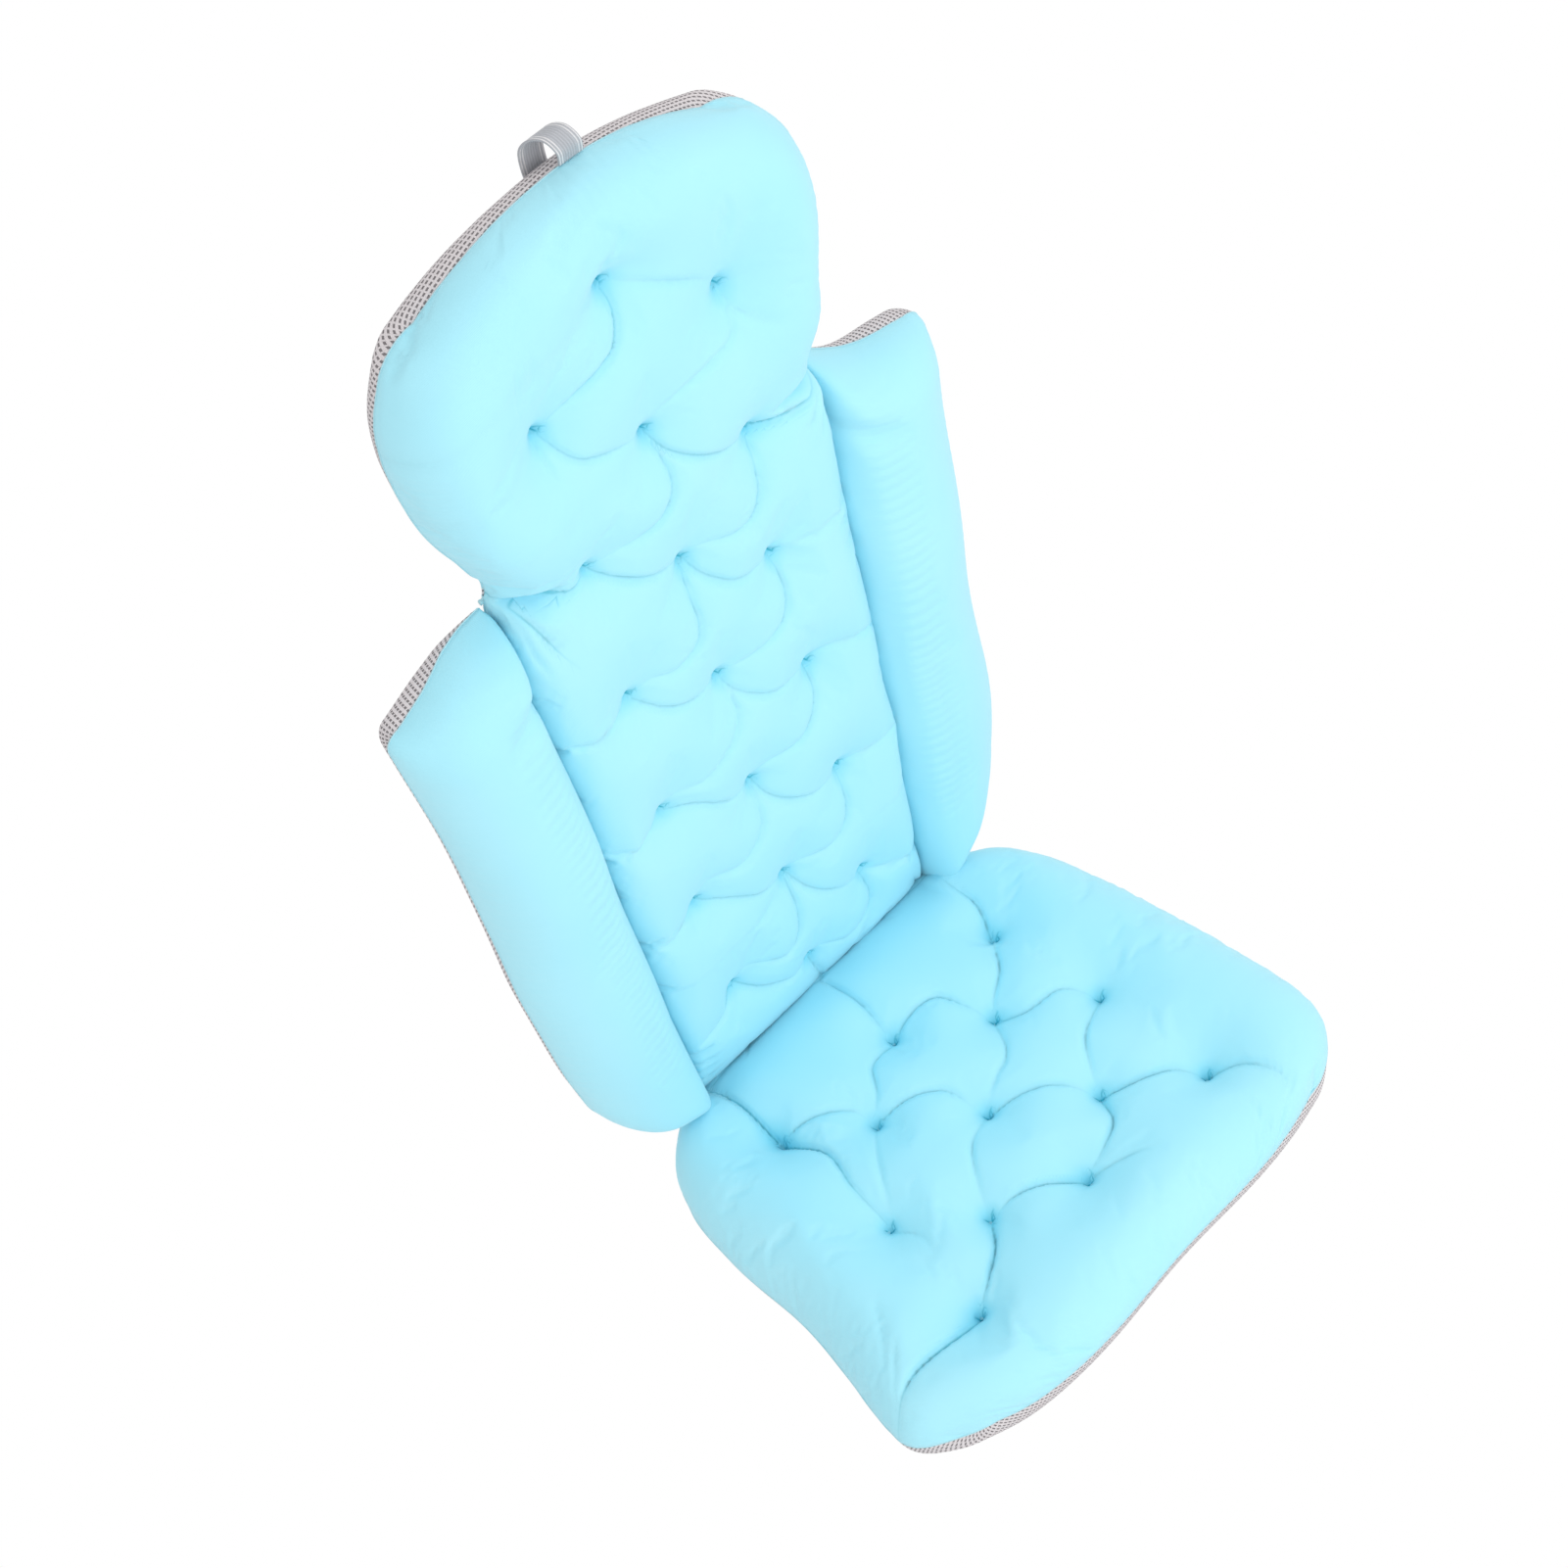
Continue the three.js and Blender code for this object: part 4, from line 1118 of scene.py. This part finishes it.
def bands(tree, vector, turn, pitch, low, high):
    """Parallel ribs across the cloth, a pitch apart in metres, from 0 between them to 1 on them."""
    mapping = node(tree, "ShaderNodeMapping", Rotation=(0, 0, math.radians(turn)))
    tree.links.new(vector, mapping.inputs["Vector"])
    wave = node(tree, "ShaderNodeTexWave", Scale=math.pi / 10 / pitch, Distortion=0.35, Detail=1.0)
    wave.inputs["Detail Scale"].default_value = 0.6
    tree.links.new(mapping.outputs["Vector"], wave.inputs["Vector"])
    return ranged(tree, wave.outputs["Fac"], "SMOOTHSTEP", from_min=low, from_max=high)


def mesh_material():
    """Spacer mesh: strong slanting threads over weaker ones, with the gaps between painted dark as the shade
    inside the holes.
    """
    m, tree, shader = material("spacer_mesh_look", {"Roughness": 0.82, "Specular IOR Level": 0.25})
    uv = along_cloth(tree)
    cross = calculated(tree, "MULTIPLY", bands(tree, uv, -28, 0.0036, 0.42, 0.85), 0.85)
    net = calculated(tree, "MAXIMUM", bands(tree, uv, 62, 0.0034, 0.12, 0.5), cross)
    thread = bands(tree, uv, 74, 0.0006, 0.0, 1.0)
    shown = calculated(tree, "SUBTRACT", net, calculated(tree, "MULTIPLY", thread, 0.12))
    # Painted shade: the gaps between the threads are coloured dark grey
    colour = ramped(tree, shown, (0.24, 0.22, 0.23), (0.80, 0.755, 0.77), 0.1, 0.75)
    tree.links.new(colour, shader.inputs["Base Color"])
    height = calculated(tree, "ADD", net, calculated(tree, "MULTIPLY", thread, 0.15))
    bumped(tree, shader, height, 0.9, 0.0009)
    return m


def webbing_material(name, color, pitch, selvedges=()):
    """Woven tape: ribs along it, fine crossing threads, and pale threads near its edges."""
    m, tree, shader = material(name, {"Roughness": 0.7, "Sheen Weight": 0.15})
    uv = along_cloth(tree)
    picks = calculated(tree, "MULTIPLY", bands(tree, uv, 90, 0.0007, 0.0, 1.0), 0.4)
    both = calculated(tree, "ADD", bands(tree, uv, 0, pitch, 0.0, 1.0), picks)
    shown = calculated(tree, "ADD", calculated(tree, "MULTIPLY", both, 0.5), noise(tree, 900.0, 2.0))
    look = ramped(tree, shown, [0.74 * c for c in color], [1.08 * c for c in color], 0.3)
    across = node(tree, "ShaderNodeSeparateXYZ")
    tree.links.new(uv, across.inputs["Vector"])
    middle = calculated(tree, "ABSOLUTE", across.outputs["X"])
    for place in selvedges:
        away = calculated(tree, "DIVIDE", calculated(tree, "SUBTRACT", middle, place * MM), 0.42 * MM)
        squared = calculated(tree, "MULTIPLY", away, away)
        pale = calculated(tree, "EXPONENT", calculated(tree, "MULTIPLY", squared, -1.0))
        look = coloured(tree, pale, look, (0.80, 0.79, 0.80, 1))
    tree.links.new(look, shader.inputs["Base Color"])
    bumped(tree, shader, both, 0.6, 0.0003)
    return m


def thread_material(name, color):
    m, tree, shader = material(name, {"Roughness": 0.6})
    twist = noise(tree, 2600.0, 1.0, in_object(tree))
    tree.links.new(ramped(tree, twist, [0.8 * c for c in color], color), shader.inputs["Base Color"])
    bumped(tree, shader, twist, 0.4, 0.0001)
    return m


def vinyl_material():
    """Clear soft vinyl, a little cloudy, with the faint marks of its mould."""
    m, tree, shader = material("clear_rubber_look", {"Transmission Weight": 0.7, "IOR": 1.45})
    cloud = noise(tree, 60.0, 2.0, in_object(tree))
    pale = ramped(tree, cloud, (0.80, 0.86, 0.88), (0.93, 0.96, 0.97))
    tree.links.new(pale, shader.inputs["Base Color"])
    tree.links.new(ranged(tree, cloud, to_min=0.08, to_max=0.24), shader.inputs["Roughness"])
    bumped(tree, shader, cloud, 0.15, 0.0003)
    return m


FABRIC = fabric_material()
NET = mesh_material()
TAPE = webbing_material("webbing_look", (0.43, 0.445, 0.485), 0.0012)
LOOP_TAPE = webbing_material("loop_webbing_look", (0.46, 0.475, 0.51), 0.0018, (6.0, 8.0))
BLUE_THREAD = thread_material("blue_thread_look", (0.38, 0.78, 0.90))
GREY_THREAD = thread_material("grey_thread_look", (0.68, 0.66, 0.68))
SEAM = thread_material("rim_seam_look", (0.50, 0.82, 0.90))
VINYL = vinyl_material()


# The unevenness of the soft panels, in their own places: none at the seams that they fold on
def bump_at(x, centre, half):
    return np.exp(-(((x - centre) / half) ** 2))


def seat_bend(x, v):
    right = -7 * bump_at(v, 215, 85) + 9 * smooth(v, 325, 400)
    left = -7 * bump_at(v, 235, 60) + 10 * smooth(v, 290, 390)
    x = x + np.abs(x / SEAT_HALF) ** 2 * np.where(x < 0, right, left)
    front = 9 * bump_at(x, -15, 85) + 12 * bump_at(x, 210, 40) + smooth(-x, 0, 150)
    return x, v - front * smooth(v, 250, 405)


def upper_bend(x, v):
    neck = 5 * smooth(v, BACK_LENGTH, BACK_LENGTH + 22) * fading(v, BACK_LENGTH + 35, 60)
    across = 3 * smooth(v, 690, 760) - 6 * smooth(v, 725, 830) * smooth(x, 30, 140)
    across = across + 4 * smooth(x, 0, 100) * bump_at(v, 655, 45)
    pulled = 8 * bump_at(v, BACK_LENGTH + 4, 22) * smooth(-x, 60, 134)
    x = x + neck * np.abs(x / HEAD_HALF) + across + pulled
    lift = 1.5 * bump_at(x, 5, 45) - 1.5 - 6.5 * smooth(x, 0, 110)
    return x, v + lift * smooth(v, 770, 867) + 0.8 * pulled


def left_wing_bend(x, v):
    top = 7 * smooth(x, -10, 20) + 5 * smooth(x, 10, 35) - 4 * smooth(x, 50, 90)
    foot = 9 * bump_at(x, 24, 20) - 7 * smooth(x, 40, 75)
    wide = 4 * bump_at(v, 280, 60) - 3 * bump_at(v, 470, 80) + 4 * fading(v, 20, 120)
    across = (x / WING_WIDTH) ** 2 * wide - 7 * bump_at(v, BACK_LENGTH, 30) * fading(x, 0, 40)
    return x + across, v + top * smooth(v, 470, 605) + foot * fading(v, 40, 110)


def right_wing_bend(x, v):
    top = -9 * smooth(x, 0, 55) - 6 * bump_at(x, 28, 24)
    foot = 12 * smooth(x, 5, 30) + 10 * smooth(x, 25, 70)
    wide = 6 * smooth(v, 200, 480) + 8 * bump_at(v, 215, 90) - 12 * fading(v, 20, 110)
    return x + (x / WING_WIDTH) ** 2 * wide, v + top * smooth(v, 470, 605) + foot * fading(v, 50, 130)


def bent(points, bend):
    p = points.copy()
    p[..., 0], p[..., 1] = bend(points[..., 0], points[..., 1])
    return p


# The padded covers, each with its mesh tray and the rolled seam between them
def rides_on(piece, body):
    """Attaches the piece to its body; a piece of the upper cover, across the back and the headrest, is only
    baked in place.
    """
    if body == "upper":
        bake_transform(piece)
    else:
        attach(piece, body)


def panel(label, points, looks, matrix, nodes, kind, bend, turn, mirrored=False):
    points = bent(points, bend)
    cover = closed_cover(label + "_cover", points, looks, matrix, mirrored)
    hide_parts(*[n + end for n in nodes for end in ("_face_cover", "_filling")])
    rides_on(cover, label)
    mesh = tray(label + "_mesh", kind, matrix, mirrored, turn, bend)
    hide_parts(*[n + "_mesh_backing" for n in nodes])
    rides_on(mesh, label)
    ring = to_world(points.reshape(-1, 3)[rim_indices(*points.shape[:2])], matrix)
    apart = np.linalg.norm(np.diff(ring, axis=0), axis=1) > RIM_SEAM_STEP
    keep = np.concatenate([[True], apart])
    rides_on(tube(label + "_rim_seam", ring[keep], *RIM_SEAM, closed=True), label)
    return points


back_matrix = back_frame()
seat_points, seat_dip_shade = seat_cover_points()
upper_points, upper_dip_shade = upper_cover_points()
wing_points, wing_dip_shade = wing_cover_points()
# Deeper creases add more painted shade to the dips' mask
seat_dip_shade += creased(seat_points, SEAT_CREASES, 1.4) / DIP_SHADE_DEPTH
upper_dip_shade += creased(upper_points, UPPER_CREASES, 1.2) / DIP_SHADE_DEPTH
jobs = [
    ("seat", seat_points, SEAT_STITCHES, COVER_SLACK),
    ("upper", upper_points, UPPER_STITCHES, COVER_SLACK),
    ("wing", wing_points, [], 0.0),
]
for job, moved in zip(jobs, simulated(jobs, BLOWN_FRAMES)):
    job[1][...] += refined(refined(capped(moved, BLOWN_MOST), 0), 1)
creased(seat_points, SEAT_CREASES, 0.6, CREASE_BOTTOM)
creased(upper_points, UPPER_CREASES, 0.5, CREASE_BOTTOM)
seat_ticks, upper_ticks = tick_lines(SEAT_STITCHES, SEAT_TICK), tick_lines(UPPER_STITCHES, UPPER_TICK)
# Painted shade lines where covers meet: along the hinge fold, beside the wings on the back, and along each
# wing's seam side
seat_hinge = seam_distance(seat_points[..., 1] - HINGE_REACH, 0.4)
seat_lines = line_values(seat_points, SEAT_CREASES, seat_ticks, seat_hinge)
upper_x, upper_v = np.abs(upper_points[..., 0]), upper_points[..., 1]
hinge, hinge_share = seam_distance(upper_v - HINGE_REACH, 0.6)
beside_wing = fading(upper_v, BACK_LENGTH - 40, 30) * 0.7
side_line, side_share = seam_distance(upper_x.max(axis=1, keepdims=True) - upper_x, beside_wing)
upper_seams = np.where(side_share > hinge_share, side_line, hinge), np.maximum(side_share, hinge_share)
upper_lines = line_values(upper_points, UPPER_CREASES, upper_ticks, upper_seams)
from_seam = wing_points[..., 0] - wing_points[..., 0].min(axis=1, keepdims=True)
wing_lines = seam_distance(from_seam, 0.5 * smooth(wing_points[..., 1], 40, 90))
puckered(seat_points, 0.8, 9, 11)
puckered(upper_points, 1.7, 7, 12)
seat_looks, upper_looks = (seat_dip_shade, *seat_lines), (upper_dip_shade, *upper_lines)
seat_points = panel("seat", seat_points, seat_looks, seat_frame(), ["seat"], "seat", seat_bend, 0)
upper_points = panel(
    "upper", upper_points, upper_looks, back_matrix, ["back", "head"], "upper", upper_bend, 35
)
for side, label, bend, seed in (
    (-1, "left_wing", left_wing_bend, 13),
    (1, "right_wing", right_wing_bend, 17),
):
    points = wing_points.copy()
    puckered(points, 0.7, 9, seed)
    panel(label, points, (wing_dip_shade, *wing_lines), wing_frame(side), [label], "wing", bend, -30, side < 0)


# Seams that the panels fold on, sewn over with thread
def fold_seam(name, matrix, start, end, body):
    steps = np.linspace(0, 1, 700)[:, None]
    path = np.asarray((*start, AXIS_HEIGHT)) * (1 - steps) + np.asarray((*end, AXIS_HEIGHT)) * steps
    if name == "neck_seam":
        # It climbs over the two stitches at the neck, where the mesh is drawn up.
        away = np.abs(np.abs(path[:, 0]) - NECK_STITCH)
        path[:, 2] += NECK_LIFT * np.exp(-away / NECK_LIFT_RUN)
    seam = tube(name + "_sewn", to_world(path, matrix), *FOLD_SEAM)
    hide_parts(name)
    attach(seam, body)


SEAT_REACH, NECK_REACH = HINGE_HALF - SEAM_END, NECK_HALF - SEAM_END
for name, matrix, start, end, body in (
    ("seat_seam", seat_frame(), (-SEAT_REACH, 0), (SEAT_REACH, 0), "seat"),
    ("neck_seam", back_matrix, (-NECK_REACH, BACK_LENGTH), (NECK_REACH, BACK_LENGTH), "back"),
    ("left_wing_seam", wing_frame(-1), (0, SEAM_END), (0, WING_SEAM - SEAM_END), "back"),
    ("right_wing_seam", wing_frame(1), (0, SEAM_END), (0, WING_SEAM - SEAM_END), "back"),
):
    fold_seam(name, matrix, start, end, body)


# Tufting stitches, on the face and on the mesh
def tuft_threads(label, points, matrix, places, way):
    flat = points.reshape(-1, 3)
    way = unit(np.array([*way, 0], float))
    side = np.array([-way[1], way[0], 0])
    face, under = [], []
    for x, v in places:
        h = flat[np.argmin((flat[:, 0] - x) ** 2 + (flat[:, 1] - v) ** 2), 2]
        for ends, at, tuft in ((face, h + TUFT_OVER, FACE_TUFT), (under, TUFT_UNDER, MESH_TUFT)):
            half, radius, lift = tuft
            for shift in (-TUFT_APART, TUFT_APART):
                middle = np.array([x, v, at]) + shift * side
                ends.append((middle - half * way, middle + half * way, radius, lift))
    stitches(label + "_tuft_threads", face, matrix, BLUE_THREAD, "face_fabric", label)
    stitches(label + "_mesh_threads", under, matrix, GREY_THREAD, "webbing", label)


tuft_threads("seat", seat_points, seat_frame(), SEAT_STITCHES, SEAT_TICK)
tuft_threads("upper", upper_points, back_matrix, UPPER_STITCHES, UPPER_TICK)


# Hanging loop: a band of webbing with a rounded edge, sewn in at the top seam and to the mesh behind
def loop_band():
    path = curved(LOOP_PATH, 10)
    ahead = unit(np.gradient(path, axis=0))
    out = np.stack([ahead[:, 1], -ahead[:, 0]], -1)
    across = np.array([-1, -.985, -.9, -.8, -.4, 0, .4, .8, .9, .985, 1]) * LOOP_WIDTH / 2
    thick = np.array([.35, .85, 1, .8, .8, .8, .8, .8, 1, .85, .35]) * LOOP_THICK / 2
    section = [*zip(across, thick), *zip(across[::-1], -thick[::-1])]
    points, uv = [], []
    for (v, h), (nv, nh), length in zip(path, out, run_along(path)):
        for a, t in section:
            x = LOOP_SHIFT + a - LOOP_LEAN * (LOOP_PATH[0][1] - h)
            points.append((x, UPPER_LENGTH + v + nv * t, h + nh * t))
            uv.append((a * MM, length * MM))
    n, m = len(path), len(section)
    faces = ring_faces(n, m, flipped=True) + end_faces(n, m, True)
    places = to_world(bent(np.array(points), upper_bend), back_matrix)
    band = mesh_object("hanging_loop_band", places, faces, LOOP_TAPE, uv)
    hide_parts("hanging_loop")
    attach(band, "head")


def loop_stitches():
    """A sewn box with a cross in it, on the loop's tail."""
    middle = LOOP_SHIFT - LOOP_LEAN * LOOP_DROP
    ends = []
    for v0, v1, x0, x1 in LOOP_SEWING:
        count = max(3, int(round(math.hypot(v1 - v0, x1 - x0) / LOOP_PITCH)))
        for k in range(count):
            start, end = (
                (middle + mix(x0, x1, t), UPPER_LENGTH + mix(v0, v1, t), LOOP_UNDER)
                for t in ((k + 0.08) / count, (k + 0.92) / count)
            )
            ends.append((start, end, SEWING_RADIUS, -0.25))
    stitches("hanging_loop_stitches", ends, back_matrix, GREY_THREAD, "webbing", "head")


loop_band()
loop_stitches()


# Suction cups, and the patches that trap their heads
def cup(panel_name, number, matrix, x, v):
    ending = "_%d" % number
    shift = np.array([x, v, 0])
    for profile, piece, replaced, look, slot in (
        (CUP_PROFILE, "_cup", "_suction_cup", VINYL, "clear_rubber"),
        (PATCH_PROFILE, "_patch", "_cup_patch", TAPE, "webbing"),
    ):
        points, faces = turned_form(profile)
        uv = points[:, :2] * MM if slot == "webbing" else None
        places = to_world(points + shift, matrix)
        thing = mesh_object(panel_name + piece + ending, places, faces, look, uv)
        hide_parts(panel_name + replaced + ending)
        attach(thing, panel_name)
    ends = []
    for k in range(PATCH_STITCHES):
        start, end = (
            shift + (PATCH_SEWING * math.cos(a), PATCH_SEWING * math.sin(a), PATCH_UNDER)
            for a in ((k + c) / PATCH_STITCHES * 2 * math.pi for c in (0.1, 0.86))
        )
        ends.append((start, end, SEWING_RADIUS, -0.28))
    stitches(panel_name + "_patch_stitches" + ending, ends, matrix, GREY_THREAD, "webbing", panel_name)


for name, matrix, half, length, shares in (
    ("seat", seat_frame(), SEAT_HALF, SEAT_LENGTH, [(-.62, .14), (.62, .14), (-.68, .82), (.68, .82)]),
    ("back", back_frame(), NECK_HALF, BACK_LENGTH, [(-.55, .2), (.55, .2)]),
    ("head", head_frame(), HEAD_HALF, HEAD_LENGTH, [(-.52, .55), (.52, .55)]),
):
    for number, (across, along) in enumerate(shares, 1):
        cup(name, number, matrix, across * half, along * length)


# Floor, backdrop, light and camera
def either(tree, seen, unseen_look, seen_look, output):
    """One look for the rays that see it as a backdrop, and another for the light that it gives."""
    both = node(tree, "ShaderNodeMixShader")
    for k, socket in enumerate((seen, unseen_look.outputs[0], seen_look.outputs[0])):
        tree.links.new(socket, both.inputs[k])
    tree.links.new(both.outputs[0], tree.nodes[output].inputs["Surface"])


def floor_material():
    m, tree, shader = material("floor_look", {})
    tree.nodes.remove(shader)
    path = node(tree, "ShaderNodeLightPath").outputs
    seen = calculated(tree, "MAXIMUM", path["Is Camera Ray"], path["Is Glossy Ray"])
    diffuse = node(tree, "ShaderNodeBsdfDiffuse", Color=(0.9, 0.9, 0.9, 1))
    glow = node(tree, "ShaderNodeEmission", Color=(1, 1, 1, 1), Strength=1.0)
    either(tree, seen, diffuse, glow, "Material Output")
    return m


corners = [(-6, -6, 0), (6, -6, 0), (6, 6, 0), (-6, 6, 0)]
mesh_object("floor", corners, [[0, 1, 2, 3]], floor_material())

world = bpy.data.worlds.new("studio")
bpy.context.scene.world = world
world.use_nodes = True
sky = world.node_tree
back = sky.nodes["Background"]
back.inputs["Color"].default_value = (1, 1, 1, 1)
white = node(sky, "ShaderNodeBackground", Color=(1, 1, 1, 1), Strength=1.0)
aligned = node(sky, "ShaderNodeVectorMath", operation="DOT_PRODUCT")
aligned.inputs[1].default_value = DARK_WAY
sky.links.new(node(sky, "ShaderNodeTexCoord").outputs["Generated"], aligned.inputs[0])
falling = ranged(
    sky, aligned.outputs["Value"], "SMOOTHSTEP", from_min=0.6, from_max=0.97, to_min=1.02, to_max=0.6
)
sky.links.new(falling, back.inputs["Strength"])
either(sky, node(sky, "ShaderNodeLightPath").outputs["Is Camera Ray"], back, white, "World Output")

for name, place, target, size, power in LAMPS:
    data = bpy.data.lights.new(name, "AREA")
    data.size = size
    data.energy = power
    thing = bpy.data.objects.new(name, data)
    bpy.context.scene.collection.objects.link(thing)
    thing.location = place
    thing.visible_camera = False
    thing.rotation_euler = (Vector(target) - Vector(place)).to_track_quat("-Z", "Y").to_euler()

camera_data = bpy.data.cameras.new("photo_camera")
camera_data.lens = LENS
camera_data.sensor_width = 36
camera_data.clip_end = 50
camera = bpy.data.objects.new("photo_camera", camera_data)
bpy.context.scene.collection.objects.link(camera)
turn = Matrix((CAMERA_RIGHT, CAMERA_UP, CAMERA_BACK)).transposed().to_4x4()
camera.matrix_world = Matrix.Translation(CAMERA_PLACE) @ turn
bpy.context.scene.camera = camera
bpy.context.scene.view_settings.view_transform = "Standard"
